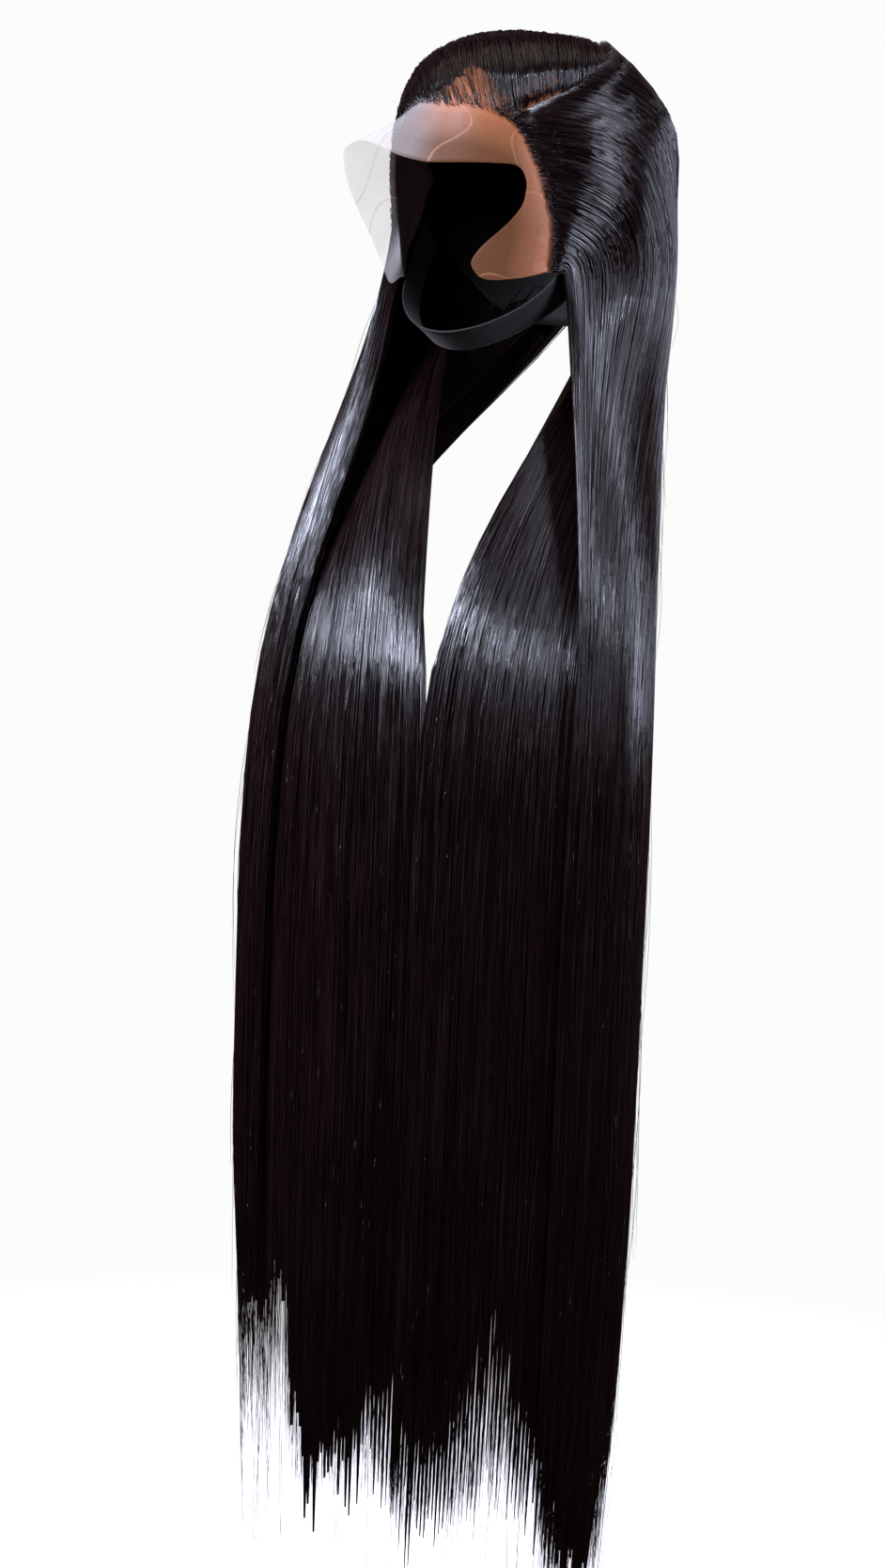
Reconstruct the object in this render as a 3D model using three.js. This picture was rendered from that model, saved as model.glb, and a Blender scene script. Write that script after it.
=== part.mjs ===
// Long straight lace front wig of real hair, brought forward over both shoulders.
// Millimetres, +Z up. The origin is where the top of a head meets the inside of the cap.
// The face looks along -Y and +X is the wearer's left.
// The hair keeps the form that it has when it is worn: a cap and lace on the head, a chin strap,
// an outer layer and a nape layer on each side, and a curtain of locks that taper to loose tips.
import * as THREE from 'three';
import { mergeVertices } from 'three/addons/utils/BufferGeometryUtils.js';

// A table's rows, each number under the name of its column
const table = (names, rows) => rows.map(
  (row) => Object.fromEntries(names.map((name, column) => [name, row[column]])),
);

// Head that the cap fits
const HEAD_HALF_WIDTH = 80;
const HEAD_HALF_LENGTH = 103;
const HEAD_HALF_HEIGHT = 95;
const HEAD_CENTRE_Y = 9;
const HEAD_SQUARENESS = 2.6;
const HEAD_TAPER = 0.116;

// Cloth
const CAP_WALL = 1.2;
const CAP_FULLNESS = 0.35;
const LACE_WALL = 1.0;
const LACE_FLARE = 45;
const LACE_CURL = 1.3;
const SEAM_GAP = 0.6;

// Chin strap
const STRAP_WIDTH = 24;
const STRAP_WALL = 1.3;

// Depth of the hair over the head
const HAIR_GAP = 2.5;
const ROOT_DEPTH = 2.0;
const CROWN_DEPTH = 11;
const DEPTH_TOP = 13;
const DEPTH_FRONT = 7;
const DEPTH_BACK = 37;
const DEPTH_LEFT = 29;
const DEPTH_RIGHT = 11;
const ROOT_FLAT = 10;
const ROOT_RISE = 70;
const PARTING_GAP = 1.8;
const EXIT_LEVEL = -0.78;

// Where a strand starts to fill out on its way down the head, and where the outer layer starts to
// leave room for the nape layer, as shares of the way and as compass angles from the face
const FILL_FROM = 0.35;
const NAPE_ROOM = 0.4;
const NAPE_ROOM_FROM = 0.7;
const NAPE_ROOM_ANGLE = 85;
const NAPE_ROOM_FULL_ANGLE = 125;

// Hair below the head
const HAIR_DROP = 1140;
const CURTAIN_HALF_WIDTH = 172;
const CURTAIN_FORWARD = 140;
const CURTAIN_DEPTH = 18;
const NAPE_DEPTH = 13;
const EDGE_SHARE = 0.4;
const EDGE_ROUNDING = 0.6;
const LAYER_GAP = 2.6;
const LOCK_RIDGE = 1.2;
const RIDGE_ROWS = 4;
const TIP_SPREAD = 95;
const TIP_SHARE = 0.14;
const TIP_TAPER = 1.3;
const RIGHT_SHORTER = 28;

// Rows and columns of the solids
const HEAD_ROWS = 16;
const PATH_STEPS = 60;
const LEVEL_STEPS = 30;
const TUCK_STEPS = 20;
const COLUMNS_PER_LOCK = 2;
const PRONG_ROWS = 2;
const NAPE_LOCKS = 8;
const CAP_COLUMNS = 26;
const CAP_ROWS = 10;
const LACE_BACK_ROWS = 8;
const LACE_FRONT_ROWS = 4;

// Hairline, parting and crown of each side, from the sideburn to the centre of the back.
// Roots are a compass angle from the face and a height in shares of the head's half height.
// The bend is the point that a strand curves round, in shares of the head's half sizes.
// The exit is the compass angle at which a strand leaves the head, below the ear, and fullness is
// how much of the hair's depth it has there. Crown is the share of the crown's depth at the roots.
const LEFT_STRANDS = table(
  ['root_angle', 'root_height', 'bend_x', 'bend_y', 'bend_z', 'exit_angle', 'fullness', 'crown'],
  [
    [59, -0.80, 0.93, -0.38, -0.79, 66, 0.25, 0.00],
    [58, -0.45, 1.00, -0.28, -0.50, 80, 0.55, 0.00],
    [50, -0.07, 1.04, -0.18, 0.00, 92, 0.90, 0.00],
    [43, 0.15, 1.08, -0.12, 0.25, 103, 1.10, 0.00],
    [37.4, 0.33, 1.12, -0.05, 0.40, 113, 1.15, 0.00],
    [49, 0.444, 1.15, 0.05, 0.50, 121, 1.15, 0.00],
    [62, 0.534, 1.15, 0.20, 0.60, 129, 1.12, 0.35],
    [79.8, 0.652, 1.12, 0.40, 0.75, 138, 1.05, 1.00],
    [110, 0.81, 0.92, 0.72, 0.80, 150, 0.95, 1.60],
    [150, 0.875, 0.60, 0.95, 0.80, 160, 0.88, 1.30],
    [179, 0.84, 0.30, 1.00, 0.60, 170, 0.80, 1.00],
    [180, 0.77, 0.00, 1.05, 0.50, 180, 0.80, 1.00],
  ],
);
const RIGHT_STRANDS = table(
  ['root_angle', 'root_height', 'bend_x', 'bend_y', 'bend_z', 'exit_angle', 'fullness', 'crown'],
  [
    [-59, -0.80, -0.93, -0.40, -0.79, -62, 0.60, 0.00],
    [-58, -0.45, -1.00, -0.32, -0.50, -67, 1.80, 0.00],
    [-50, -0.07, -1.04, -0.24, 0.00, -74, 2.70, 0.00],
    [-44, 0.18, -1.05, -0.25, 0.40, -82, 3.50, 0.00],
    [-34, 0.38, -1.00, -0.30, 0.75, -91, 2.90, 0.00],
    [-18, 0.47, -0.85, -0.30, 1.10, -100, 1.60, 0.00],
    [0, 0.42, -0.75, -0.30, 1.35, -109, 1.20, 0.00],
    [20, 0.415, -0.60, -0.30, 1.55, -115, 1.10, 0.00],
    [37.4, 0.33, -0.45, -0.25, 1.70, -121, 1.00, 0.00],
    [49, 0.444, -0.35, -0.10, 1.70, -127, 1.00, 0.00],
    [62, 0.534, -0.30, 0.10, 1.60, -134, 1.00, 0.15],
    [79.8, 0.652, -0.30, 0.35, 1.40, -141, 0.95, 0.80],
    [110, 0.81, -0.30, 0.60, 1.20, -151, 0.88, 1.50],
    [150, 0.875, -0.45, 0.64, 1.00, -161, 0.85, 1.30],
    [179, 0.84, -0.46, 0.76, 0.82, -170, 0.80, 1.00],
    [180, 0.77, 0.00, 1.05, 0.50, -180, 0.80, 1.00],
  ],
);

// Sections of the hair below the head, one row for each level.
// Drop is a share of the hair's drop, x of the curtain's half width and y of its forward reach.
// The outer layer runs from its front edge round a swell to its back edge. The nape layer shows
// between its own inner edge and the outer layer's front edge, and goes on beneath the outer layer
// as far as tuck, a share of that layer's breadth. Depth is a share of the curtain's depth.
const LEFT_SECTIONS = table(
  ['drop', 'front_x', 'front_y', 'swell_x', 'swell_y', 'back_x', 'back_y',
   'depth', 'inner_x', 'inner_y', 'lap_x', 'lap_y', 'tuck_from', 'tuck'],
  [
    [0.21, 0.49, -0.23, 0.87, 0.40, 0.35, 0.87, 1.2, null, null, null, null, 0.10, 0.90],
    [0.25, 0.53, -0.27, 0.86, 0.11, 0.57, 0.54, 1.1, 0.43, -0.32, 0.50, -0.31, 0, 0.75],
    [0.30, 0.60, -0.39, 0.94, -0.09, 0.73, 0.19, 1.0, 0.228, -0.56, 0.42, -0.53, 0, 0.60],
    [0.375, 0.76, -0.57, 1.01, -0.37, 0.86, -0.12, 0.9, 0.143, -0.88, 0.46, -0.88, 0, 0.50],
    [0.443, 0.77, -0.70, 1.06, -0.44, 0.91, -0.16, 0.85, 0.17, -0.95, 0.52, -1.00, 0, 0.45],
    [0.544, 0.78, -0.74, 1.06, -0.47, 0.91, -0.19, 0.85, 0.178, -0.98, 0.52, -1.02, 0, 0.45],
    [0.72, 0.78, -0.74, 1.06, -0.47, 0.91, -0.20, 0.8, 0.178, -0.98, 0.52, -1.02, 0, 0.45],
    [0.88, 0.76, -0.74, 1.04, -0.49, 0.89, -0.24, 0.7, 0.175, -0.98, 0.50, -1.02, 0, 0.45],
    [1.00, 0.75, -0.74, 0.98, -0.51, 0.85, -0.29, 0.5, 0.17, -0.98, 0.48, -1.02, 0, 0.45],
  ],
);
const RIGHT_SECTIONS = table(
  ['drop', 'front_x', 'front_y', 'swell_x', 'swell_y', 'back_x', 'back_y',
   'depth', 'inner_x', 'inner_y', 'lap_x', 'lap_y', 'tuck_from', 'tuck'],
  [
    [0.21, -0.47, -0.23, -1.11, -0.30, -0.31, 0.87, 1.2, -0.33, 0.02, -0.41, -0.12, 0, 0.90],
    [0.25, -0.52, -0.30, -1.07, -0.38, -0.55, 0.52, 1.1, -0.24, -0.14, -0.38, -0.30, 0, 0.70],
    [0.30, -0.62, -0.45, -1.08, -0.45, -0.73, 0.18, 1.0, -0.07, -0.54, -0.35, -0.60, 0, 0.55],
    [0.375, -0.69, -0.66, -1.12, -0.59, -0.87, -0.14, 0.9, 0.07, -0.85, -0.30, -0.90, 0, 0.50],
    [0.443, -0.70, -0.77, -1.10, -0.70, -0.88, -0.29, 0.85, 0.145, -0.94, -0.30, -1.02, 0, 0.45],
    [0.544, -0.70, -0.80, -1.09, -0.73, -0.89, -0.31, 0.85, 0.168, -0.98, -0.30, -1.04, 0, 0.45],
    [0.72, -0.70, -0.80, -1.08, -0.73, -0.88, -0.32, 0.8, 0.168, -0.98, -0.30, -1.04, 0, 0.45],
    [0.88, -0.69, -0.80, -0.94, -0.70, -0.85, -0.36, 0.7, 0.165, -0.98, -0.30, -1.04, 0, 0.45],
    [1.00, -0.67, -0.80, -0.82, -0.70, -0.79, -0.43, 0.5, 0.16, -0.98, -0.29, -1.03, 0, 0.45],
  ],
);

// Levels, in shares of the drop: the hair swings forward above the one and splits into tips below
// the other
const SWING_LEVEL = 0.40;
const SPLIT_LEVEL = 0.88;

// Roots of the nape layer at the last two rows over the head: the shares of the outer layer's
// breadth that they lie under, and how much of the room below it they fill
const NAPE_ROOTS = table(
  ['from', 'to', 'fill'],
  [
    [0.50, 0.96, 0.80],
    [0.42, 0.96, 0.90],
  ],
);

// How far each lock in turn stops short of the longest, in shares of the tip spread
const TIP_STAGGER = [0.30, 0.65, 0.10, 0.50, 0.00, 0.80, 0.25, 0.55, 0.05, 0.40];

// Clear lace from the right sideburn over the forehead to the left one. Each column runs from the
// seam with the cap, or the back of the sideburn tab, over the hairline to the free edge.
// Angles are compass angles from the face, heights are shares of the head's half height, and
// flare is how far the free edge stands off the face, in shares of the lace's flare.
const LACE_COLUMNS = table(
  ['back_angle', 'back_height', 'hair_angle', 'hair_height', 'edge_angle', 'edge_height', 'flare'],
  [
    [-61, -0.80, -59.5, -0.80, -58, -0.81, 0.06],
    [-66, -0.70, -56, -0.66, -58, -0.88, 0.24],
    [-73, -0.54, -58, -0.45, -58, -0.68, 0.34],
    [-84, -0.40, -54, -0.25, -53, -0.50, 0.44],
    [null, null, -50, -0.07, -50, -0.33, 0.62],
    [null, null, -44, 0.18, -43, -0.12, 0.82],
    [null, null, -38, 0.33, -38, 0.10, 0.95],
    [null, null, -28, 0.43, -31, 0.16, 0.66],
    [null, null, -18, 0.47, -20, 0.04, 0.22],
    [null, null, -7, 0.44, -8, -0.01, 0.02],
    [null, null, 5, 0.42, 5, -0.02, 0.00],
    [null, null, 18, 0.415, 17, -0.02, 0.00],
    [null, null, 30, 0.36, 29, -0.02, 0.00],
    [null, null, 38, 0.31, 39, -0.02, 0.00],
    [null, null, 44, 0.15, 43, -0.06, 0.00],
    [null, null, 50, -0.07, 45.5, -0.16, 0.00],
    [84, -0.40, 54, -0.25, 44, -0.32, 0.00],
    [75, -0.50, 58, -0.43, 37, -0.46, 0.00],
    [71, -0.62, 56.5, -0.58, 24, -0.63, 0.00],
    [66, -0.70, 55, -0.68, 17, -0.76, 0.00],
    [63, -0.76, 54.5, -0.75, 23, -0.88, 0.00],
    [60, -0.80, 57, -0.80, 40, -0.86, 0.00],
  ],
);
const LACE_SEAM_FROM = 3;
const LACE_SEAM_TO = 16;

// Seam between lace and cap: over the ear, across the crown and over the other ear
const SEAM_EAR_ANGLE = 84;
const SEAM_EAR_HEIGHT = -0.40;
const SEAM_BEND = { x: 1.05, y: 0.42, z: 0.85 };
const SEAM_TOP = { y: 0.56, z: 0.88 };

// Lower edge of the cap from the ear to the nape
const CAP_EDGE = table(
  ['share', 'angle', 'height'],
  [
    [0, 180, -1.08],
    [0.35, 152, -1.06],
    [0.6, 132, -0.92],
    [0.8, 115, -0.68],
    [1, 98, -0.40],
  ],
);

// Middle of the chin strap from below the left ear to under the chin, in shares of the head's half
// sizes, with the way that its outer face looks
const STRAP_PATH = table(
  ['x', 'y', 'z', 'face_x', 'face_y', 'face_z'],
  [
    [0.95, 0.05, -0.43, 1, 0, -0.03],
    [0.925, -0.07, -0.56, 1, -0.08, -0.08],
    [0.855, -0.24, -0.80, 1, -0.24, -0.22],
    [0.78, -0.39, -0.98, 1, -0.30, -0.55],
    [0.62, -0.53, -1.13, 0.85, -0.40, -0.95],
    [0.40, -0.65, -1.25, 0.50, -0.50, -1.00],
    [0.20, -0.72, -1.31, 0.22, -0.58, -1.00],
    [0.00, -0.745, -1.335, 0, -0.60, -1.00],
  ],
);

const point = (x, y, z) => new THREE.Vector3(x, y, z);
const turn = THREE.MathUtils.degToRad;
const smooth = (value, from, to) => THREE.MathUtils.smoothstep(value, from, to);

// A direction from the head's centre, for a compass angle and a height share
function direction(angle, height) {
  const across = height > 0 ? (1 - height ** HEAD_SQUARENESS) ** (1 / HEAD_SQUARENESS) : 1;
  return point(across * Math.sin(turn(angle)), -across * Math.cos(turn(angle)), height);
}

// The same direction scaled to a head of half sizes one: a dome above and a drum below
function onUnitHead(way) {
  const across = Math.hypot(way.x, way.y);
  const reach = way.z > 0
    ? (across ** HEAD_SQUARENESS + way.z ** HEAD_SQUARENESS) ** (1 / HEAD_SQUARENESS)
    : across;
  return way.clone().divideScalar(reach);
}

// The point of the head in a direction, lifted off it by a distance
function headPoint(way, lift) {
  const unit = onUnitHead(way);
  const across = Math.max(Math.hypot(unit.x, unit.y), 1e-9);
  const taper = 1 - HEAD_TAPER * Math.max(0, -unit.z) ** 1.5;
  const slopeOut = unit.z > 0 ? across ** (HEAD_SQUARENESS - 1) / HEAD_HALF_WIDTH : 1;
  const slopeUp = unit.z > 0 ? unit.z ** (HEAD_SQUARENESS - 1) / HEAD_HALF_HEIGHT : 0;
  const slope = Math.hypot(slopeOut, slopeUp);
  const out = lift * slopeOut / slope / across;
  return point(
    unit.x * (HEAD_HALF_WIDTH * taper + out),
    HEAD_CENTRE_Y + unit.y * (HEAD_HALF_LENGTH * taper + out),
    HEAD_HALF_HEIGHT * (unit.z - 1) + lift * slopeUp / slope,
  );
}

// The outside of the hair over the head in a direction
function hairDome(way) {
  const unit = onUnitHead(way);
  const halfWidth = HEAD_HALF_WIDTH + (DEPTH_LEFT + DEPTH_RIGHT) / 2;
  const halfLength = HEAD_HALF_LENGTH + (DEPTH_FRONT + DEPTH_BACK) / 2;
  const rise = unit.z > 0 ? DEPTH_TOP * unit.z : 0;
  return point(
    (DEPTH_LEFT - DEPTH_RIGHT) / 2 + halfWidth * unit.x,
    HEAD_CENTRE_Y + (DEPTH_BACK - DEPTH_FRONT) / 2 + halfLength * unit.y,
    HEAD_HALF_HEIGHT * (unit.z - 1) + rise,
  );
}

// A point on the curve that leaves a, bends round b and ends at c
function bend(a, b, c, share) {
  return a.clone().multiplyScalar((1 - share) ** 2)
    .addScaledVector(b, 2 * share * (1 - share))
    .addScaledVector(c, share ** 2);
}

// A table's row between two rows, each number taken in proportion
function between(first, second, share) {
  const row = {};
  for (const name of Object.keys(first)) {
    row[name] = first[name] === null || second[name] === null
      ? null
      : first[name] + (second[name] - first[name]) * share;
  }
  return row;
}

// The levels of a table, with one more between each two where the hair still swings forward
function halved(sections) {
  const levels = [sections[0]];
  for (let i = 1; i < sections.length; i += 1) {
    if (sections[i].drop < SWING_LEVEL) {
      levels.push(between(sections[i - 1], sections[i], 0.5));
    }
    levels.push(sections[i]);
  }
  return levels;
}

// The same line with its points spaced evenly
function evenly(line, count) {
  const distance = [0];
  for (let i = 1; i < line.length; i += 1) {
    distance.push(distance[i - 1] + line[i].distanceTo(line[i - 1]));
  }
  const result = [];
  let at = 0;
  for (let i = 0; i < count; i += 1) {
    const goal = distance[line.length - 1] * i / (count - 1);
    while (at < line.length - 2 && distance[at + 1] < goal) {
      at += 1;
    }
    const step = distance[at + 1] - distance[at];
    result.push(line[at].clone().lerp(line[at + 1], Math.min(1, (goal - distance[at]) / step)));
  }
  return result;
}

// Triangles of a closed skin, turned so that the faces look out
function closedMesh(name, corners, triangles, material) {
  let volume = 0;
  for (const [a, b, c] of triangles) {
    volume += corners[a].dot(corners[b].clone().cross(corners[c]));
  }
  const faces = volume < 0 ? triangles.map(([a, b, c]) => [a, c, b]) : triangles;
  const geometry = new THREE.BufferGeometry();
  const numbers = corners.flatMap((corner) => corner.toArray());
  geometry.setAttribute('position', new THREE.Float32BufferAttribute(numbers, 3));
  geometry.setIndex(faces.flat());
  const mesh = new THREE.Mesh(mergeVertices(geometry, 1e-3), material);
  mesh.name = name;
  return mesh;
}

// A cloth sheet with thickness, from rows of points on its outer and inner faces
function sheetMesh(name, outer, inner, material) {
  const rows = outer.length;
  const columns = outer[0].length;
  const corners = [...outer.flat(), ...inner.flat()];
  const out = (row, column) => row * columns + column;
  const back = (row, column) => rows * columns + row * columns + column;
  const triangles = [];
  const quad = (a, b, c, d) => triangles.push([a, b, c], [a, c, d]);
  for (let row = 0; row < rows - 1; row += 1) {
    for (let column = 0; column < columns - 1; column += 1) {
      quad(out(row, column), out(row, column + 1), out(row + 1, column + 1), out(row + 1, column));
      quad(back(row, column), back(row + 1, column), back(row + 1, column + 1), back(row, column + 1));
    }
    quad(out(row, 0), out(row + 1, 0), back(row + 1, 0), back(row, 0));
    const last = columns - 1;
    quad(out(row, last), back(row, last), back(row + 1, last), out(row + 1, last));
  }
  for (let column = 0; column < columns - 1; column += 1) {
    quad(out(0, column), back(0, column), back(0, column + 1), out(0, column + 1));
    const last = rows - 1;
    quad(out(last, column), out(last, column + 1), back(last, column + 1), back(last, column));
  }
  return closedMesh(name, corners, triangles, material);
}

// A sheet of hair whose last row splits into locks, each narrowing to its own tip.
// Rows after the split row are the levels that the locks pass on their way down.
function hairMesh(name, outer, inner, splitRow, tipLevels, material) {
  const columns = outer[0].length;
  const corners = [];
  const outerIndex = [];
  const innerIndex = [];
  const keep = (corner) => corners.push(corner) - 1;
  for (let row = 0; row <= splitRow; row += 1) {
    outerIndex.push(outer[row].map(keep));
    innerIndex.push(inner[row].map(keep));
  }
  const triangles = [];
  const quad = (a, b, c, d) => triangles.push([a, b, c], [a, c, d]);
  for (let row = 0; row < splitRow; row += 1) {
    const [o, n] = [outerIndex[row], outerIndex[row + 1]];
    const [p, q] = [innerIndex[row], innerIndex[row + 1]];
    for (let column = 0; column < columns - 1; column += 1) {
      quad(o[column], o[column + 1], n[column + 1], n[column]);
      quad(p[column], q[column], q[column + 1], p[column + 1]);
    }
    quad(o[0], n[0], q[0], p[0]);
    quad(o[columns - 1], p[columns - 1], q[columns - 1], n[columns - 1]);
  }
  for (let column = 0; column < columns - 1; column += 1) {
    const after = column + 1;
    quad(outerIndex[0][column], innerIndex[0][column], innerIndex[0][after], outerIndex[0][after]);
  }
  const topLevel = outer[splitRow][0].z;
  const lastRow = outer.length - 1;
  const bottomLevel = outer[lastRow][0].z;
  const atLevel = (rows, level, column) => {
    const share = (topLevel - level) / (topLevel - bottomLevel);
    return rows[splitRow][column].clone().lerp(rows[lastRow][column], share).setZ(level);
  };
  for (let left = 0; left < columns - 1; left += COLUMNS_PER_LOCK) {
    const lock = left / COLUMNS_PER_LOCK;
    const middle = left + COLUMNS_PER_LOCK / 2;
    const right = left + COLUMNS_PER_LOCK;
    const order = [[outerIndex, left], [outerIndex, middle], [outerIndex, right],
      [innerIndex, right], [innerIndex, middle], [innerIndex, left]];
    let ring = order.map(([index, column]) => index[splitRow][column]);
    for (let row = 1; row <= PRONG_ROWS; row += 1) {
      const share = row / PRONG_ROWS;
      const level = topLevel + (tipLevels[lock] - topLevel) * share;
      const width = 1 - (1 - TIP_SHARE) * share ** TIP_TAPER;
      const heart = atLevel(outer, level, middle).lerp(atLevel(inner, level, middle), 0.5);
      const next = [[outer, left], [outer, middle], [outer, right],
        [inner, right], [inner, middle], [inner, left]]
        .map(([rows, column]) => keep(heart.clone().lerp(atLevel(rows, level, column), width)));
      for (let side = 0; side < ring.length; side += 1) {
        const after = (side + 1) % ring.length;
        quad(ring[side], ring[after], next[after], next[side]);
      }
      ring = next;
    }
    for (let side = 1; side < ring.length - 1; side += 1) {
      triangles.push([ring[0], ring[side], ring[side + 1]]);
    }
  }
  return closedMesh(name, corners, triangles, material);
}

// Cap: the stretch net behind the lace, over the crown and down to the nape
function seam(share) {
  const side = Math.sign(share) || 1;
  const ear = direction(side * SEAM_EAR_ANGLE, SEAM_EAR_HEIGHT);
  const over = point(side * SEAM_BEND.x, SEAM_BEND.y, SEAM_BEND.z);
  const top = point(0, SEAM_TOP.y, SEAM_TOP.z);
  const across = point(0, SEAM_TOP.y, SEAM_TOP.z).lerp(over, Math.abs(share) * 0.5);
  return onUnitHead(bend(top, across.lerp(over, 0.5), ear, Math.abs(share)));
}

function capEdge(share) {
  const side = Math.sign(share) || 1;
  const size = Math.abs(share);
  const next = Math.max(1, CAP_EDGE.findIndex((row) => row.share >= size));
  const [a, b] = [CAP_EDGE[next - 1], CAP_EDGE[next]];
  const row = between(a, b, (size - a.share) / (b.share - a.share));
  return direction(side * row.angle, row.height);
}

function makeCap(material) {
  const outer = [];
  const inner = [];
  for (let row = 0; row <= CAP_ROWS; row += 1) {
    const outerRow = [];
    const innerRow = [];
    for (let column = 0; column <= CAP_COLUMNS; column += 1) {
      const share = 2 * column / CAP_COLUMNS - 1;
      const from = seam(share);
      const to = capEdge(share);
      const across = from.clone().add(to).multiplyScalar(0.5);
      const push = 1 + CAP_FULLNESS * from.distanceTo(to);
      const over = point(across.x * push, across.y * push, across.z);
      const way = bend(from, over, to, row / CAP_ROWS);
      const set = point(0, row === 0 ? SEAM_GAP : 0, 0);
      outerRow.push(headPoint(way, CAP_WALL).add(set));
      innerRow.push(headPoint(way, 0).add(set));
    }
    outer.push(outerRow);
    inner.push(innerRow);
  }
  return sheetMesh('cap', outer, inner, material);
}

// Lace front: from the seam over the hairline to the free edge, with one lobe off the face
function makeLace(material) {
  const columns = LACE_COLUMNS.map((row, index) => {
    const seamShare = 2 * (index - LACE_SEAM_FROM) / (LACE_SEAM_TO - LACE_SEAM_FROM) - 1;
    return {
      back: row.back_angle === null ? seam(seamShare) : direction(row.back_angle, row.back_height),
      hair: direction(row.hair_angle, row.hair_height),
      edge: direction(row.edge_angle, row.edge_height),
      flare: row.flare,
    };
  });
  const outer = [];
  const inner = [];
  for (let row = 0; row <= LACE_BACK_ROWS + LACE_FRONT_ROWS; row += 1) {
    const onHead = row <= LACE_BACK_ROWS;
    const share = onHead ? row / LACE_BACK_ROWS : (row - LACE_BACK_ROWS) / LACE_FRONT_ROWS;
    const outerRow = [];
    const innerRow = [];
    for (const column of columns) {
      const way = onHead
        ? column.back.clone().lerp(column.hair, share)
        : column.hair.clone().lerp(column.edge, share);
      const lift = onHead ? 0 : LACE_FLARE * column.flare * share ** LACE_CURL;
      outerRow.push(headPoint(way, lift + LACE_WALL));
      innerRow.push(headPoint(way, lift));
    }
    outer.push(outerRow);
    inner.push(innerRow);
  }
  return sheetMesh('lace_front', outer, inner, material);
}

// Chin strap: an elastic band from below one ear, under the chin, to below the other
function makeStrap(material) {
  const left = STRAP_PATH.map((row) => ({
    middle: point(
      row.x * HEAD_HALF_WIDTH,
      HEAD_CENTRE_Y + row.y * HEAD_HALF_LENGTH,
      HEAD_HALF_HEIGHT * (row.z - 1),
    ),
    face: point(row.face_x, row.face_y, row.face_z),
  }));
  const right = left.slice(0, -1).reverse().map(({ middle, face }) => ({
    middle: middle.clone().setX(-middle.x),
    face: face.clone().setX(-face.x),
  }));
  const stations = [...left, ...right];
  const path = new THREE.CatmullRomCurve3(stations.map((station) => station.middle));
  const faces = new THREE.CatmullRomCurve3(stations.map((station) => station.face));
  const outer = [];
  const inner = [];
  const steps = 2 * (stations.length - 1);
  for (let step = 0; step <= steps; step += 1) {
    const share = step / steps;
    const middle = path.getPoint(share);
    const along = path.getTangent(share);
    const face = faces.getPoint(share);
    face.addScaledVector(along, -face.dot(along)).normalize();
    const across = along.clone().cross(face).normalize();
    const row = [-0.5, 0, 0.5].map((side) => middle.clone().addScaledVector(across, side * STRAP_WIDTH));
    outer.push(row.map((corner) => corner.clone().addScaledVector(face, STRAP_WALL)));
    inner.push(row);
  }
  return sheetMesh('chin_strap', outer, inner, material);
}

// A path over the head, measured so that steps along it can be even
class EvenPath {
  constructor(pointAt) {
    this.distances = [0];
    for (let step = 1; step <= PATH_STEPS; step += 1) {
      const stride = pointAt(step / PATH_STEPS).distanceTo(pointAt((step - 1) / PATH_STEPS));
      this.distances.push(this.distances[step - 1] + stride);
    }
    this.length = this.distances[PATH_STEPS];
  }

  shareAt(part) {
    const goal = part * this.length;
    const next = Math.max(1, this.distances.findIndex((distance) => distance >= goal - 1e-9));
    const [a, b] = [this.distances[next - 1], this.distances[next]];
    return (next - 1 + (goal - a) / (b - a)) / PATH_STEPS;
  }
}

// Outer layer over the head: rows from the roots to where the strands leave the head
function headRows(strands) {
  const fine = [];
  for (let i = 0; i < strands.length - 1; i += 1) {
    for (let part = 0; part < COLUMNS_PER_LOCK; part += 1) {
      fine.push({ first: strands[i], second: strands[i + 1], share: part / COLUMNS_PER_LOCK });
    }
  }
  fine.push({ first: strands[strands.length - 2], second: strands[strands.length - 1], share: 1 });
  const lift = CAP_WALL + HAIR_GAP;
  const columns = fine.map(({ first, second, share }) => {
    const row = between(first, second, share);
    const rootOf = (strand) => direction(strand.root_angle, strand.root_height);
    const root = onUnitHead(rootOf(first).lerp(rootOf(second), share));
    const over = point(row.bend_x, row.bend_y, row.bend_z);
    const exit = direction(row.exit_angle, EXIT_LEVEL);
    const path = new EvenPath((share) => headPoint(bend(root, over, exit, share), lift));
    const rootTop = lift + ROOT_DEPTH + CROWN_DEPTH * row.crown;
    const line = [];
    for (let step = 0; step <= HEAD_ROWS; step += 1) {
      const along = step / HEAD_ROWS;
      const way = bend(root, over, exit, path.shareAt(along));
      const floor = headPoint(way, lift);
      const rise = smooth(along * path.length, ROOT_FLAT, ROOT_RISE);
      const full = rise * (1 + (row.fullness - 1) * smooth(along, FILL_FROM, 1));
      const behind = smooth(Math.abs(row.exit_angle), NAPE_ROOM_ANGLE, NAPE_ROOM_FULL_ANGLE);
      const room = NAPE_ROOM * smooth(along, NAPE_ROOM_FROM, 1) * behind;
      const dome = hairDome(way);
      line.push({
        outer: headPoint(way, rootTop).lerp(dome, full),
        inner: floor.clone().lerp(dome, room * full),
        floor,
      });
    }
    return line;
  });
  const rows = [];
  for (let step = 0; step <= HEAD_ROWS; step += 1) {
    rows.push({
      outer: columns.map((line) => line[step].outer),
      inner: columns.map((line) => line[step].inner),
      floor: columns.map((line) => line[step].floor),
    });
  }
  return rows;
}

// The level line of a section, from its shares
function levelPoint(x, y, drop) {
  return point(x * CURTAIN_HALF_WIDTH, y * CURTAIN_FORWARD, -drop * HAIR_DROP);
}

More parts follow.
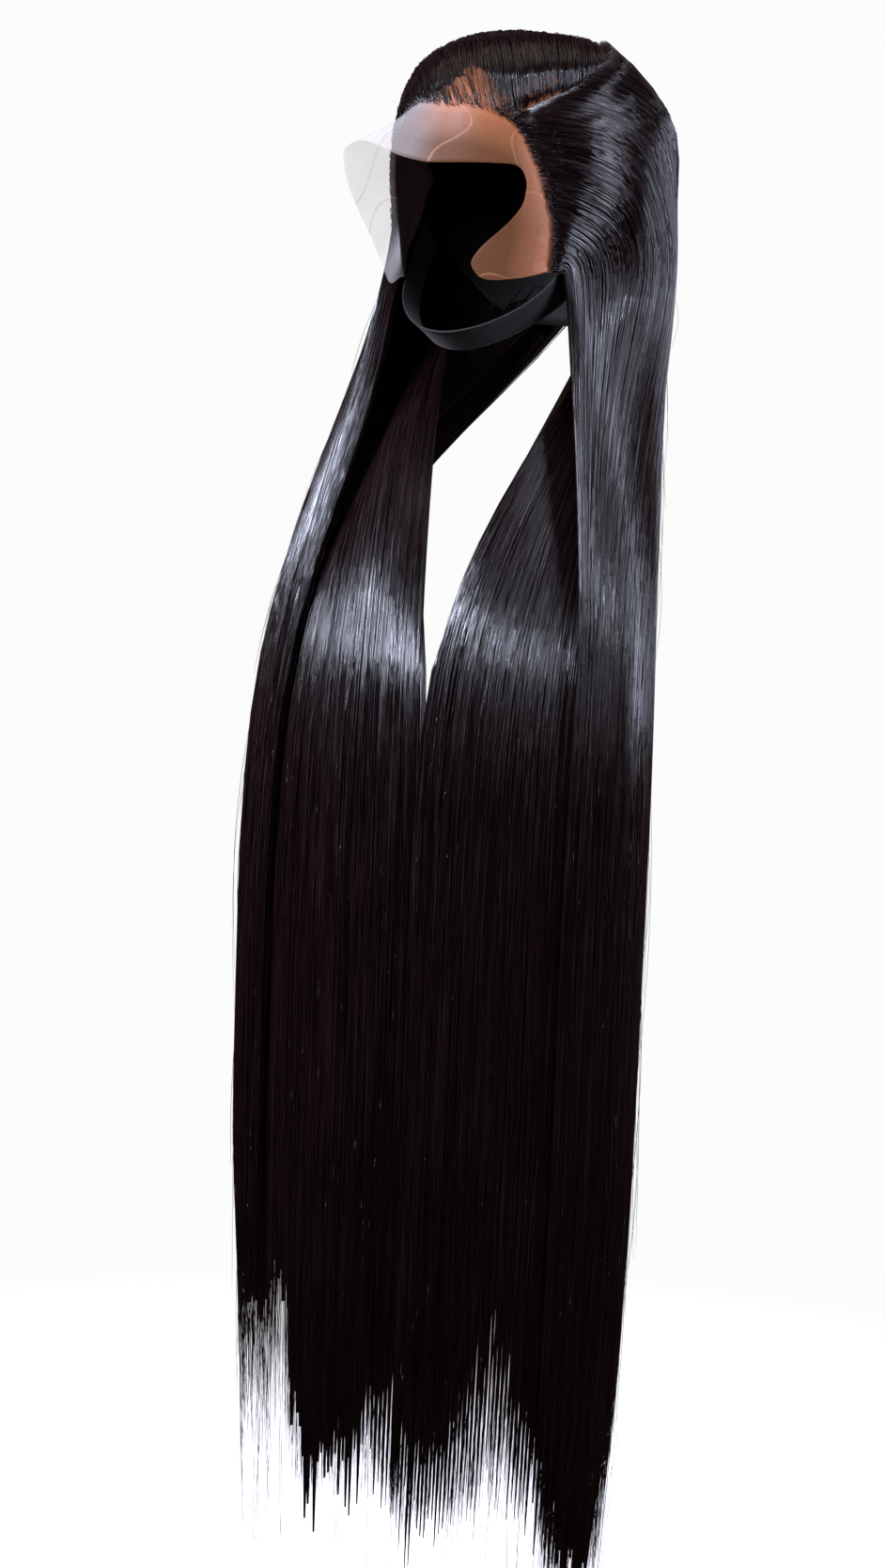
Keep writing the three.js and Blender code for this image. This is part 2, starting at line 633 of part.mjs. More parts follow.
// Points moved inward from a level line, less at its ends
function insideOf(line, depth, side) {
  return line.map((corner, index) => {
    const before = line[Math.max(0, index - 1)];
    const after = line[Math.min(line.length - 1, index + 1)];
    const along = after.clone().sub(before).setZ(0).normalize();
    const inward = point(-along.y * side, along.x * side, 0);
    const share = index / (line.length - 1);
    const full = EDGE_SHARE + (1 - EDGE_SHARE) * Math.sin(Math.PI * share) ** EDGE_ROUNDING;
    return corner.clone().addScaledVector(inward, depth * full);
  });
}

// Outer layer below the head: one row for each section of the table
function curtainRow(section, columns, side) {
  const front = levelPoint(section.front_x, section.front_y, section.drop);
  const swell = levelPoint(section.swell_x, section.swell_y, section.drop);
  const back = levelPoint(section.back_x, section.back_y, section.drop);
  const line = [];
  for (let step = 0; step <= LEVEL_STEPS; step += 1) {
    line.push(bend(front, swell, back, step / LEVEL_STEPS));
  }
  const outer = evenly(line, columns);
  return { outer, inner: insideOf(outer, section.depth * CURTAIN_DEPTH, side), floor: null };
}

// Nape layer: beneath the outer layer, and in the open between the two front edges
function napeRow(section, over, columns, side) {
  const tucked = [];
  const reach = over.inner.length - 1;
  for (let step = 0; step <= TUCK_STEPS; step += 1) {
    const share = step / TUCK_STEPS;
    const place = (section.tuck_from + (section.tuck - section.tuck_from) * share) * reach;
    const at = Math.min(reach - 1, Math.floor(place));
    const inner = over.inner[at].clone().lerp(over.inner[at + 1], place - at);
    const outer = over.outer[at].clone().lerp(over.outer[at + 1], place - at);
    tucked.push(inner.addScaledVector(outer.sub(inner).normalize(), -LAYER_GAP));
  }
  const line = [...tucked];
  if (section.inner_x !== null) {
    const edge = levelPoint(section.inner_x, section.inner_y, section.drop);
    const lap = levelPoint(section.lap_x, section.lap_y, section.drop);
    for (let step = TUCK_STEPS - 1; step >= 0; step -= 1) {
      line.unshift(bend(edge, lap, tucked[0], step / TUCK_STEPS));
    }
  }
  const outer = evenly(line, columns);
  return { outer, inner: insideOf(outer, NAPE_DEPTH * Math.min(1, section.depth), side) };
}

// Nape roots: between the head and the outer layer
function napeRootRow(over, columns, { from, to, fill }) {
  const outer = [];
  const inner = [];
  const reach = over.inner.length - 1;
  for (let column = 0; column < columns; column += 1) {
    const place = (from + (to - from) * column / (columns - 1)) * reach;
    const at = Math.min(reach - 1, Math.floor(place));
    const roof = over.inner[at].clone().lerp(over.inner[at + 1], place - at);
    const floor = over.floor[at].clone().lerp(over.floor[at + 1], place - at);
    outer.push(floor.clone().lerp(roof, fill));
    inner.push(floor);
  }
  return { outer, inner };
}

// Locks stand out along their middles and sink between
function ridged(rows, firstRow) {
  return rows.map((row, index) => {
    const strength = LOCK_RIDGE * smooth(index, firstRow, firstRow + RIDGE_ROWS);
    return row.outer.map((corner, column) => {
      const away = corner.clone().sub(row.inner[column]).normalize();
      const lean = column % COLUMNS_PER_LOCK === 0 ? -1 : 1;
      return corner.clone().addScaledVector(away, lean * strength / 2);
    });
  });
}

// Tip of each lock, as a height
function tipLevels(locks, first, shorter) {
  return Array.from({ length: locks }, (unused, lock) => {
    const short = TIP_STAGGER[(lock + first) % TIP_STAGGER.length];
    return -HAIR_DROP + shorter + short * TIP_SPREAD;
  });
}

function makeSide(name, strands, sections, side, firstTip, shorter, material) {
  const columns = (strands.length - 1) * COLUMNS_PER_LOCK + 1;
  const shift = point(side * PARTING_GAP / 2, side * PARTING_GAP / 3, 0);
  const over = headRows(strands);
  for (const row of over) {
    for (const line of [row.outer, row.inner, row.floor]) {
      line.forEach((corner) => corner.add(shift));
    }
  }
  const levels = halved(sections);
  const splitLevel = levels.findIndex((level) => level.drop >= SPLIT_LEVEL);
  const curtain = levels.map((level) => curtainRow(level, columns, side));
  const rows = [...over, ...curtain];
  const split = over.length + splitLevel;
  const hair = hairMesh(`hair_${name}`, ridged(rows, 4), rows.map((row) => row.inner), split,
    tipLevels(strands.length - 1, firstTip, shorter), material);

  const napeColumns = NAPE_LOCKS * COLUMNS_PER_LOCK + 1;
  const lastOver = over.slice(-NAPE_ROOTS.length);
  const roots = NAPE_ROOTS.map((row, index) => napeRootRow(lastOver[index], napeColumns, row));
  const fall = levels.map((level, index) => napeRow(level, curtain[index], napeColumns, side));
  const napeRows = [...roots, ...fall];
  const nape = hairMesh(`nape_${name}`, ridged(napeRows, 1), napeRows.map((row) => row.inner),
    roots.length + splitLevel, tipLevels(NAPE_LOCKS, firstTip + 3, shorter), material);
  return [hair, nape];
}

const hairLook = () => new THREE.MeshStandardMaterial({
  color: 0x17100f,
  roughness: 0.38,
  metalness: 0,
});
const laceLook = new THREE.MeshStandardMaterial({ color: 0xd9b79c, roughness: 0.6, metalness: 0 });
const capLook = new THREE.MeshStandardMaterial({ color: 0x201a18, roughness: 0.8, metalness: 0 });
const strapLook = new THREE.MeshStandardMaterial({ color: 0x141216, roughness: 0.7, metalness: 0 });

const wig = new THREE.Group();
wig.add(makeCap(capLook));
wig.add(makeLace(laceLook));
wig.add(makeStrap(strapLook));
wig.add(...makeSide('left', LEFT_STRANDS, LEFT_SECTIONS, 1, 0, 0, hairLook()));
wig.add(...makeSide('right', RIGHT_STRANDS, RIGHT_SECTIONS, -1, 4, RIGHT_SHORTER, hairLook()));

export default wig;
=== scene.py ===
import math

import bpy
import numpy as np
from bpy.props import FloatProperty, FloatVectorProperty, IntProperty, PointerProperty
from mathutils import Matrix, Vector


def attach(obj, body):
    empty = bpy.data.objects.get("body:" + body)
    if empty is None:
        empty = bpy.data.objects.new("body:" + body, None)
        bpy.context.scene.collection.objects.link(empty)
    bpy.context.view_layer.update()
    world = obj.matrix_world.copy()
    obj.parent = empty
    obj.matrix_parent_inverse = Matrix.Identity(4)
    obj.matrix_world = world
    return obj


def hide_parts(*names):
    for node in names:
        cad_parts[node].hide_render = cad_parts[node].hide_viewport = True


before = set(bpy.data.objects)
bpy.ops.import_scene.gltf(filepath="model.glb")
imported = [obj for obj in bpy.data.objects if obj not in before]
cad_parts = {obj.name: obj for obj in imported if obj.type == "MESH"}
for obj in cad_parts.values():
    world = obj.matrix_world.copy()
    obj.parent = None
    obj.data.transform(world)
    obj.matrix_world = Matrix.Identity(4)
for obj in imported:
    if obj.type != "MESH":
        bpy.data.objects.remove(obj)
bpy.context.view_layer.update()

bl_info = {
    "name": "Long Straight Lace Front Wig",
    "version": (1, 0, 0),
    "blender": (4, 5, 0),
    "location": "View3D > Sidebar > Wig",
    "description": "Builds the hair, lace, cap and chin strap of a long straight wig",
    "category": "Object",
}

# Head that the cap fits
HEAD_HALF = (80.0, 103.0, 95.0)
HEAD_CENTRE_Y = 9.0
HEAD_SQUARENESS = 2.6
HEAD_TAPER = 0.116
CAP_FULLNESS = 0.35
LACE_FLARE = 45.0
LACE_CURL = 1.3

# Depth of the hair over the head
HAIR_LIFT = 3.7
ROOT_DEPTH = 2.0
CROWN_DEPTH = 11.0
DEPTH_TOP = 13.0
DEPTH_FRONT = 7.0
DEPTH_BACK = 37.0
DEPTH_LEFT = 29.0
DEPTH_RIGHT = 11.0
ROOT_FLAT = 10.0
ROOT_RISE = 70.0
PARTING_GAP = 1.8
EXIT_LEVEL = -0.78
NAPE_ROOM = 0.4

# angle, height, spread of both and outward swell where the brushed strands stand fuller
HEAD_SWELLS = np.array([
    [123, 0.70, 38, 0.30, 7.5],
    [-60, -0.60, 30, 0.55, 7.0],
    [-60, 0.75, 35, 0.25, 4.0],
])

# Hair below the head
HAIR_DROP = 1140.0
CURTAIN_HALF_WIDTH = 172.0
CURTAIN_FORWARD = 140.0
CURTAIN_DEPTH = 18.0
NAPE_DEPTH = 13.0
LAYER_GAP = 2.6
FIRST_DROP = 0.21

# Rows and columns of the flow of hair
FLOW_COLUMNS = 121
HEAD_ROWS = 40
JOIN_ROWS = 8
FALL_ROWS = 92
HEAD_CURVE_STEPS = 61
LEVEL_STEPS = 41
TUCK_STEPS = 21

# Passes of smoothing along the rows and across the columns, and at the rows where hair leaves the head
ROW_PASSES = 8
COLUMN_PASSES = 6
EXIT_PASSES = 90
LAST_PASSES = 4
EXIT_ROWS = (20, 36)

# Bed of packed hair under the strands
BED_COLUMNS = 97
BED_LOCKS = 46
BED_SPLIT = 0.72
BED_SINK = 2.2
BED_RISE = 9.0
BED_SETTLED = 0.45
LOCK_ENDS = (-52, 12)
ROOT_SINK = 1.9

# Strands: how many wisps they gather in, the shares that start near the hairline, end early or lie
# beneath, how much early ones may lose, and the steps over the head, round the turn, down and at the tip
WISPS = 30
NEAR_SHARE = 0.72
EARLY_SHARE = 0.25
EARLY_BY = 320
BENEATH_SHARE = 0.16
SETTLE_DROP = 0.47
HAIR_STEPS = (9, 6, 5)
NAPE_STEPS = (1, 7, 6)
TIP_STEPS = (0, 0.24, 0.48, 0.68, 0.85, 1.0)
EDGE_FROM = 0.36
EDGE_REACH = (-3.2, 1.0)
STRAY_FROM = {"hair": 0.12, "nape": 0.25}
STRAY_TO = 0.93

# Metres of hair across one column of the flow, which sets the breadth of its streaks
LOCK_ACROSS = 0.0016

# root_angle, root_height, bend_x, bend_y, bend_z, exit_angle, fullness, crown
LEFT_STRANDS = np.array([
    [59, -0.80, 0.93, -0.38, -0.79, 66, 0.25, 0.00],
    [58, -0.45, 1.00, -0.28, -0.50, 80, 0.55, 0.00],
    [50, -0.07, 1.04, -0.18, 0.00, 92, 0.90, 0.00],
    [43, 0.15, 1.08, -0.12, 0.25, 103, 1.10, 0.00],
    [37.4, 0.33, 1.12, -0.05, 0.40, 113, 1.15, 0.00],
    [49, 0.444, 1.15, 0.05, 0.50, 121, 1.15, 0.00],
    [62, 0.534, 1.15, 0.20, 0.60, 129, 1.12, 0.35],
    [79.8, 0.652, 1.12, 0.40, 0.75, 138, 1.05, 1.00],
    [110, 0.81, 0.92, 0.72, 0.80, 150, 0.95, 1.60],
    [150, 0.875, 0.60, 0.95, 0.80, 160, 0.88, 1.30],
    [179, 0.84, 0.30, 1.00, 0.60, 170, 0.80, 1.00],
    [180, 0.77, 0.00, 1.05, 0.50, 180, 0.80, 1.00],
])
RIGHT_STRANDS = np.array([
    [-59, -0.80, -0.93, -0.40, -0.79, -62, 0.60, 0.00],
    [-58, -0.45, -1.00, -0.32, -0.50, -67, 1.80, 0.00],
    [-50, -0.07, -1.04, -0.24, 0.00, -74, 2.70, 0.00],
    [-44, 0.18, -1.05, -0.25, 0.40, -82, 3.50, 0.00],
    [-34, 0.38, -1.00, -0.30, 0.75, -91, 2.90, 0.00],
    [-18, 0.47, -0.85, -0.30, 1.10, -100, 1.60, 0.00],
    [0, 0.42, -0.75, -0.30, 1.35, -109, 1.20, 0.00],
    [20, 0.415, -0.60, -0.30, 1.55, -115, 1.10, 0.00],
    [37.4, 0.33, -0.45, -0.25, 1.70, -121, 1.00, 0.00],
    [49, 0.444, -0.35, -0.10, 1.70, -127, 1.00, 0.00],
    [62, 0.534, -0.30, 0.10, 1.60, -134, 1.00, 0.15],
    [79.8, 0.652, -0.30, 0.35, 1.40, -141, 0.95, 0.80],
    [110, 0.81, -0.30, 0.60, 1.20, -151, 0.88, 1.50],
    [150, 0.875, -0.45, 0.64, 1.00, -161, 0.85, 1.30],
    [179, 0.84, -0.46, 0.76, 0.82, -170, 0.80, 1.00],
    [180, 0.77, 0.00, 1.05, 0.50, -180, 0.80, 1.00],
])

# Place in the table above, and the row over the head at which the hair starts to be packed: bare at
# the hairline, close at the parting and lapped over at the crown
LEFT_ROOTS = np.array([[0, 1.5], [3.2, 1.4], [4.2, 0.35], [7, 0.3], [8.2, -1.2]])
RIGHT_ROOTS = np.array([[0, 1.5], [7.2, 1.3], [8.3, 0.35], [11, 0.3], [12.2, -1.2]])
ROOT_ENDS = {"left": 0.40, "right": 0.56}

# drop, front_x, front_y, swell_x, swell_y, back_x, back_y, depth, inner_x, inner_y, lap_x, lap_y,
# tuck_from, tuck. At the first level the nape layer is all tucked away.
LEFT_SECTIONS = np.array([
    [0.21, 0.49, -0.23, 0.87, 0.40, 0.35, 0.87, 1.2, 0.49, -0.23, 0.49, -0.23, 0.10, 0.90],
    [0.25, 0.53, -0.27, 0.86, 0.11, 0.57, 0.54, 1.1, 0.43, -0.32, 0.50, -0.31, 0, 0.75],
    [0.30, 0.60, -0.39, 0.94, -0.09, 0.73, 0.19, 1.0, 0.228, -0.56, 0.42, -0.53, 0, 0.60],
    [0.375, 0.76, -0.57, 1.01, -0.37, 0.86, -0.12, 0.9, 0.143, -0.88, 0.46, -0.88, 0, 0.50],
    [0.443, 0.77, -0.70, 1.06, -0.44, 0.91, -0.16, 0.85, 0.17, -0.95, 0.52, -1.00, 0, 0.45],
    [0.544, 0.78, -0.74, 1.06, -0.47, 0.91, -0.19, 0.85, 0.178, -0.98, 0.52, -1.02, 0, 0.45],
    [0.72, 0.78, -0.74, 1.06, -0.47, 0.91, -0.20, 0.8, 0.178, -0.98, 0.52, -1.02, 0, 0.45],
    [0.88, 0.76, -0.74, 1.04, -0.49, 0.89, -0.24, 0.7, 0.175, -0.98, 0.50, -1.02, 0, 0.45],
    [1.00, 0.75, -0.74, 0.98, -0.51, 0.85, -0.29, 0.5, 0.17, -0.98, 0.48, -1.02, 0, 0.45],
])
RIGHT_SECTIONS = np.array([
    [0.21, -0.47, -0.23, -1.11, -0.30, -0.31, 0.87, 1.2, -0.33, 0.02, -0.41, -0.12, 0, 0.90],
    [0.25, -0.52, -0.30, -1.07, -0.38, -0.55, 0.52, 1.1, -0.24, -0.14, -0.38, -0.30, 0, 0.70],
    [0.30, -0.62, -0.45, -1.08, -0.45, -0.73, 0.18, 1.0, -0.07, -0.54, -0.35, -0.60, 0, 0.55],
    [0.375, -0.69, -0.66, -1.12, -0.59, -0.87, -0.14, 0.9, 0.07, -0.85, -0.30, -0.90, 0, 0.50],
    [0.443, -0.70, -0.77, -1.10, -0.70, -0.88, -0.29, 0.85, 0.145, -0.94, -0.30, -1.02, 0, 0.45],
    [0.544, -0.70, -0.80, -1.09, -0.73, -0.89, -0.31, 0.85, 0.168, -0.98, -0.30, -1.04, 0, 0.45],
    [0.72, -0.70, -0.80, -1.08, -0.73, -0.88, -0.32, 0.8, 0.168, -0.98, -0.30, -1.04, 0, 0.45],
    [0.88, -0.69, -0.80, -0.94, -0.70, -0.85, -0.36, 0.7, 0.165, -0.98, -0.30, -1.04, 0, 0.45],
    [1.00, -0.67, -0.80, -0.82, -0.70, -0.79, -0.43, 0.5, 0.16, -0.98, -0.29, -1.03, 0, 0.45],
])

# share of the layer's breadth from its inner or front edge, then how far its full body and its last
# wisps stop short of the longest hair
TIPS = {
    "nape_left": np.array([
        [0.00, 100, 58], [0.07, 74, 46], [0.15, 63, 42], [0.25, 94, 51], [0.36, 89, 47],
        [0.43, 90, 48], [0.51, 112, 60], [0.59, 120, 60], [0.67, 118, 60], [0.75, 105, 45],
        [0.82, 85, 29], [0.90, 50, 15], [1.00, 48, 13],
    ]),
    "hair_left": np.array([
        [0.00, 141, 50], [0.10, 85, 22], [0.30, 49, 11], [0.50, 47, 9], [0.70, 65, 15],
        [0.85, 160, 61], [1.00, 227, 99],
    ]),
    "nape_right": np.array([
        [0.00, 96, 57], [0.07, 108, 60], [0.14, 112, 62], [0.27, 100, 58], [0.41, 86, 52],
        [0.52, 70, 46], [0.63, 165, 62], [0.73, 250, 67], [0.85, 285, 61], [1.00, 290, 97],
    ]),
    "hair_right": np.array([
        [0.00, 245, 83], [0.30, 233, 58], [0.60, 220, 52], [1.00, 193, 45],
    ]),
}
NAPE_ROOTS = ((0.50, 0.96, 0.80), (0.42, 0.96, 0.90))

# back_angle, back_height, hair_angle, hair_height, edge_angle, edge_height, flare.
# NaN marks a column that starts at the seam with the cap.
SEAM = float("nan")
LACE_COLUMNS = np.array([
    [-61, -0.80, -59.5, -0.80, -58, -0.81, 0.06],
    [-66, -0.70, -56, -0.66, -58, -0.88, 0.24],
    [-73, -0.54, -58, -0.45, -58, -0.68, 0.34],
    [-84, -0.40, -54, -0.25, -53, -0.50, 0.44],
    [SEAM, SEAM, -50, -0.07, -50, -0.33, 0.62],
    [SEAM, SEAM, -44, 0.18, -43, -0.12, 0.82],
    [SEAM, SEAM, -38, 0.33, -38, 0.10, 0.95],
    [SEAM, SEAM, -28, 0.43, -31, 0.16, 0.66],
    [SEAM, SEAM, -18, 0.47, -20, 0.04, 0.22],
    [SEAM, SEAM, -7, 0.44, -8, -0.01, 0.02],
    [SEAM, SEAM, 5, 0.42, 5, -0.02, 0.00],
    [SEAM, SEAM, 18, 0.415, 17, -0.02, 0.00],
    [SEAM, SEAM, 30, 0.36, 29, -0.02, 0.00],
    [SEAM, SEAM, 38, 0.31, 39, -0.02, 0.00],
    [SEAM, SEAM, 44, 0.15, 43, -0.06, 0.00],
    [SEAM, SEAM, 50, -0.07, 45.5, -0.16, 0.00],
    [84, -0.40, 54, -0.25, 44, -0.32, 0.00],
    [75, -0.50, 58, -0.43, 37, -0.46, 0.00],
    [71, -0.62, 56.5, -0.58, 24, -0.63, 0.00],
    [66, -0.70, 55, -0.68, 17, -0.76, 0.00],
    [63, -0.76, 54.5, -0.75, 23, -0.88, 0.00],
    [60, -0.80, 57, -0.80, 40, -0.86, 0.00],
])
LACE_ACROSS = 106
LACE_BACK_ROWS = 19
LACE_FRONT_ROWS = 15
LACE_LIFT = 0.6
LACE_LOBE_END = 0.155
LACE_SEAM_FROM = 3
LACE_SEAM_TO = 16
SEAM_EAR = (84.0, -0.40)
SEAM_BEND = (1.05, 0.42, 0.85)
SEAM_TOP = (0.0, 0.56, 0.88)
SEAM_GAP = 0.6

CAP_ACROSS = 79
CAP_ROWS = 31
CAP_LIFTS = (1.0, 0.2)
# share, angle, height of the lower edge of the cap, from the nape to the ear
CAP_EDGE = np.array([
    [0, 180, -1.08],
    [0.35, 152, -1.06],
    [0.6, 132, -0.92],
    [0.8, 115, -0.68],
    [1, 98, -0.40],
])

# x, y, z of the strap's middle and of the way its outer face looks
STRAP_PATH = np.array([
    [0.95, 0.05, -0.43, 1, 0, -0.03],
    [0.925, -0.07, -0.56, 1, -0.08, -0.08],
    [0.855, -0.24, -0.80, 1, -0.24, -0.22],
    [0.78, -0.39, -0.98, 1, -0.30, -0.55],
    [0.62, -0.53, -1.13, 0.85, -0.40, -0.95],
    [0.40, -0.65, -1.25, 0.50, -0.50, -1.00],
    [0.20, -0.72, -1.31, 0.22, -0.58, -1.00],
    [0.00, -0.745, -1.335, 0, -0.60, -1.00],
])

STRAP_WIDTH = 24.0
STRAP_BACK = 0.15
STRAP_ROWS = 97
STRAP_PASSES = 20
# share of the strap's width from its middle, and how far its outer face rises there
STRAP_PROFILE = np.array([
    [-0.50, 0.70], [-0.46, 1.25], [-0.42, 1.05], [-0.30, 1.00], [-0.15, 1.00], [0.00, 1.00],
    [0.15, 1.00], [0.30, 1.00], [0.42, 1.05], [0.46, 1.25], [0.50, 0.70],
])

# Photograph's frame and camera
PICTURE = (943, 1668)
FOCAL_PIXELS = 2950.0
SENSOR_MM = 36.0
CAMERA_AZIMUTH = 33.0
CAMERA_PITCH = 5.2
CAMERA_ROLL = 2.06
CAMERA_AT = (1117.16, -1778.47, -360.0)

# Lights, in metres: breadth and height, place, the point that each looks at, and colour
COOL = (0.74, 0.80, 1.0)
LIGHTS = {
    "key": ((1.1, 0.18), (-1.35, -1.80, 0.90), (0, -0.1, -0.45), COOL),
    "fill": ((1.0, 0.18), (-0.30, -2.25, 0.92), (0, -0.1, -0.45), COOL),
    "side": ((0.7, 1.1), (2.1, 0.30, 0.34), (0, 0, -0.05), COOL),
    "rear": ((0.9, 0.8), (1.25, 2.15, 0.20), (0, 0, -0.2), COOL),
    "top": ((1.2, 1.2), (0.3, 0.0, 1.5), (0, 0, 0), (1.0, 0.88, 0.80)),
}
FLOOR_LEVEL = -1.25
FLOOR_RADIUS = 3.0
FLOOR_FADE = (0.5, 1.2)


# Numbers and curves

def unit(vectors):
    """Vectors made one long."""
    return vectors / np.maximum(np.linalg.norm(vectors, axis=-1, keepdims=True), 1e-9)


def smoothstep(value, low, high):
    """Zero below low, one above high, and eased between."""
    share = np.clip((value - low) / (high - low), 0, 1)
    return share * share * (3 - 2 * share)


def mix(first, second, share):
    """The mix of two arrays of points, share by share."""
    share = np.asarray(share, float)
    return first + (second - first) * share[..., None]


def bend(start, over, end, share):
    """Points on the curve that leaves start, bends round over and stops at end."""
    share = np.asarray(share, float)[..., None]
    return (1 - share) ** 2 * start + 2 * share * (1 - share) * over + share ** 2 * end


def table_at(table, places):
    """Rows of a table at fractional row numbers."""
    rows = np.arange(len(table))
    return np.stack([np.interp(places, rows, table[:, c]) for c in range(table.shape[1])], -1)


def evened(line, count):
    """A line with its points spaced evenly."""
    far = lengths(line, 0)
    goal = np.linspace(0, far[-1], count)
    return np.stack([np.interp(goal, far, line[:, axis]) for axis in range(3)], -1)


def smoothed(grid, axis, passes):
    """A grid of points smoothed along one axis, with its ends kept."""
    grid = np.moveaxis(grid.copy(), axis, 0)
    for _ in range(passes):
        grid[1:-1] = (grid[:-2] + 2 * grid[1:-1] + grid[2:]) / 4
    return np.moveaxis(grid, 0, axis)


def lengths(grid, axis):
    """How far each point of a grid lies from its first along one axis."""
    first = np.take(grid, [0], axis)
    return np.cumsum(np.linalg.norm(np.diff(grid, axis=axis, prepend=first), axis=-1), axis)


def area_of(grid):
    """The area of a grid of points."""
    along = grid[1:, :-1] - grid[:-1, :-1]
    across = grid[:-1, 1:] - grid[:-1, :-1]
    return float(np.linalg.norm(np.cross(along, across), axis=2).sum())


def lattice_noise(rng, places, size):
    """Smooth random numbers from -1 to 1 at places, with one new value each size."""
    places = np.asarray(places, float) / size
    low = places.min() - 2
    values = rng.uniform(-1, 1, int(places.max() - low) + 4)
    at = places - low
    cell = np.floor(at).astype(int)
    share = at - cell
    share = share * share * (3 - 2 * share)
    return values[cell] * (1 - share) + values[cell + 1] * share


# Head

def direction(angle, height):
    """A direction from the head's centre, for a compass angle and a height share."""
    angle, height = np.broadcast_arrays(angle, np.asarray(height, float))
    power = HEAD_SQUARENESS
    across = (1 - np.clip(height, 0, 1) ** power) ** (1 / power)
    turn = np.radians(angle)
    return np.stack([across * np.sin(turn), -across * np.cos(turn), height], -1)


def on_unit_head(way):
    """The direction scaled to a head of half sizes one."""
    power = HEAD_SQUARENESS
    across = np.hypot(way[..., 0], way[..., 1])
    up = np.maximum(way[..., 2], 0)
    reach = np.where(way[..., 2] > 0, (across ** power + up ** power) ** (1 / power), across)
    return way / reach[..., None]


def head_point(way, lift):
    """The point of the head in a direction, lifted off it."""
    power = HEAD_SQUARENESS
    wide, long, high = HEAD_HALF
    way = on_unit_head(way)
    across = np.maximum(np.hypot(way[..., 0], way[..., 1]), 1e-9)
    taper = 1 - HEAD_TAPER * np.maximum(0, -way[..., 2]) ** 1.5
    above = way[..., 2] > 0
    slope_out = np.where(above, across ** (power - 1) / wide, 1)
    slope_up = np.where(above, np.maximum(way[..., 2], 0) ** (power - 1) / high, 0)
    slope = np.hypot(slope_out, slope_up)
    out = lift * slope_out / slope / across
    return np.stack([
        way[..., 0] * (wide * taper + out),
        HEAD_CENTRE_Y + way[..., 1] * (long * taper + out),
        high * (way[..., 2] - 1) + lift * slope_up / slope,
    ], -1)


def hair_dome(way):
    """The outside of the hair over the head in a direction."""
    way = on_unit_head(way)
    wide, long, high = HEAD_HALF
    return np.stack([
        (DEPTH_LEFT - DEPTH_RIGHT) / 2 + (wide + (DEPTH_LEFT + DEPTH_RIGHT) / 2) * way[..., 0],
        HEAD_CENTRE_Y + (DEPTH_BACK - DEPTH_FRONT) / 2
        + (long + (DEPTH_FRONT + DEPTH_BACK) / 2) * way[..., 1],
        high * (way[..., 2] - 1) + DEPTH_TOP * np.maximum(way[..., 2], 0),
    ], -1)


# Flow of the hair

def level_points(x, y, drop):
    """Points of the level lines, from their shares."""
    return np.stack([x * CURTAIN_HALF_WIDTH, y * CURTAIN_FORWARD, -drop * HAIR_DROP], -1)


def inside_of(line, depth, side):
    """Points moved inward from a level line, less at its ends."""
    along = np.gradient(line, axis=0)
    along[:, 2] = 0
    along = unit(along)
    inward = np.stack([-along[:, 1] * side, along[:, 0] * side, np.zeros(len(line))], -1)
    share = np.linspace(0, 1, len(line))
    full = 0.4 + 0.6 * np.sin(np.pi * share).clip(0) ** 0.6
    return line + inward * (depth * full)[:, None]


def head_flow(strands, side):
    """Outer, inner and floor points over the head, by column and row."""
    places = np.linspace(0, len(strands) - 1, FLOW_COLUMNS)
    rows = table_at(strands, places)
    roots = table_at(direction(strands[:, 0], strands[:, 1]), places)
    roots = on_unit_head(smoothed(roots, 0, 2))
    over = rows[:, 2:5]
    leave = direction(rows[:, 5], EXIT_LEVEL)
    share = np.linspace(0, 1, HEAD_CURVE_STEPS)
    path = head_point(bend(roots[:, None], over[:, None], leave[:, None], share[None]), HAIR_LIFT)
    far = lengths(path, 1)
    along = np.linspace(0, 1, HEAD_ROWS + 1)
    even = np.stack([np.interp(along * line[-1], line, share) for line in far])
    way = bend(roots[:, None], over[:, None], leave[:, None], even)
    floor = head_point(way, HAIR_LIFT)
    rise = smoothstep(along[None] * far[:, -1:], ROOT_FLAT, ROOT_RISE)
    full = rise * (1 + (rows[:, 6:7] - 1) * smoothstep(along, 0.35, 1)[None])
    behind = smoothstep(np.abs(rows[:, 5:6]), 85, 125)
    room = NAPE_ROOM * smoothstep(along, 0.7, 1)[None] * behind
    dome = hair_dome(way)
    top = HAIR_LIFT + ROOT_DEPTH + CROWN_DEPTH * rows[:, 7:8]
    outer = mix(head_point(way, top), dome, full)
    for angle, height, wide, high, swell in HEAD_SWELLS:
        at = on_unit_head(way)
        turn = (np.degrees(np.arctan2(at[..., 0], -at[..., 1])) - angle) / wide
        near = np.exp(-turn ** 2 - ((at[..., 2] - height) / high) ** 2) * full.clip(0, 1)
        outer = outer + unit(at * np.array([1, 1, 0.7])) * (near * swell)[..., None]
    inner = mix(floor, dome, room * full)
    shift = np.array([side * PARTING_GAP / 2, side * PARTING_GAP / 3, 0])
    return outer + shift, inner + shift, floor + shift


def fall_lines(sections, side):
    """Each level's row of the table, with the outer and inner line of the layer from the part."""
    drops = np.linspace(FIRST_DROP, 1, FALL_ROWS)
    share = np.linspace(0, 1, LEVEL_STEPS)
    for row in np.stack([np.interp(drops, sections[:, 0], column) for column in sections.T], -1):
        front, swell, back = (level_points(row[a], row[a + 1], row[0]) for a in (1, 3, 5))
        line = evened(bend(front, swell, back, share), FLOW_COLUMNS)
        yield row, line, inside_of(line, row[7] * CURTAIN_DEPTH, side)


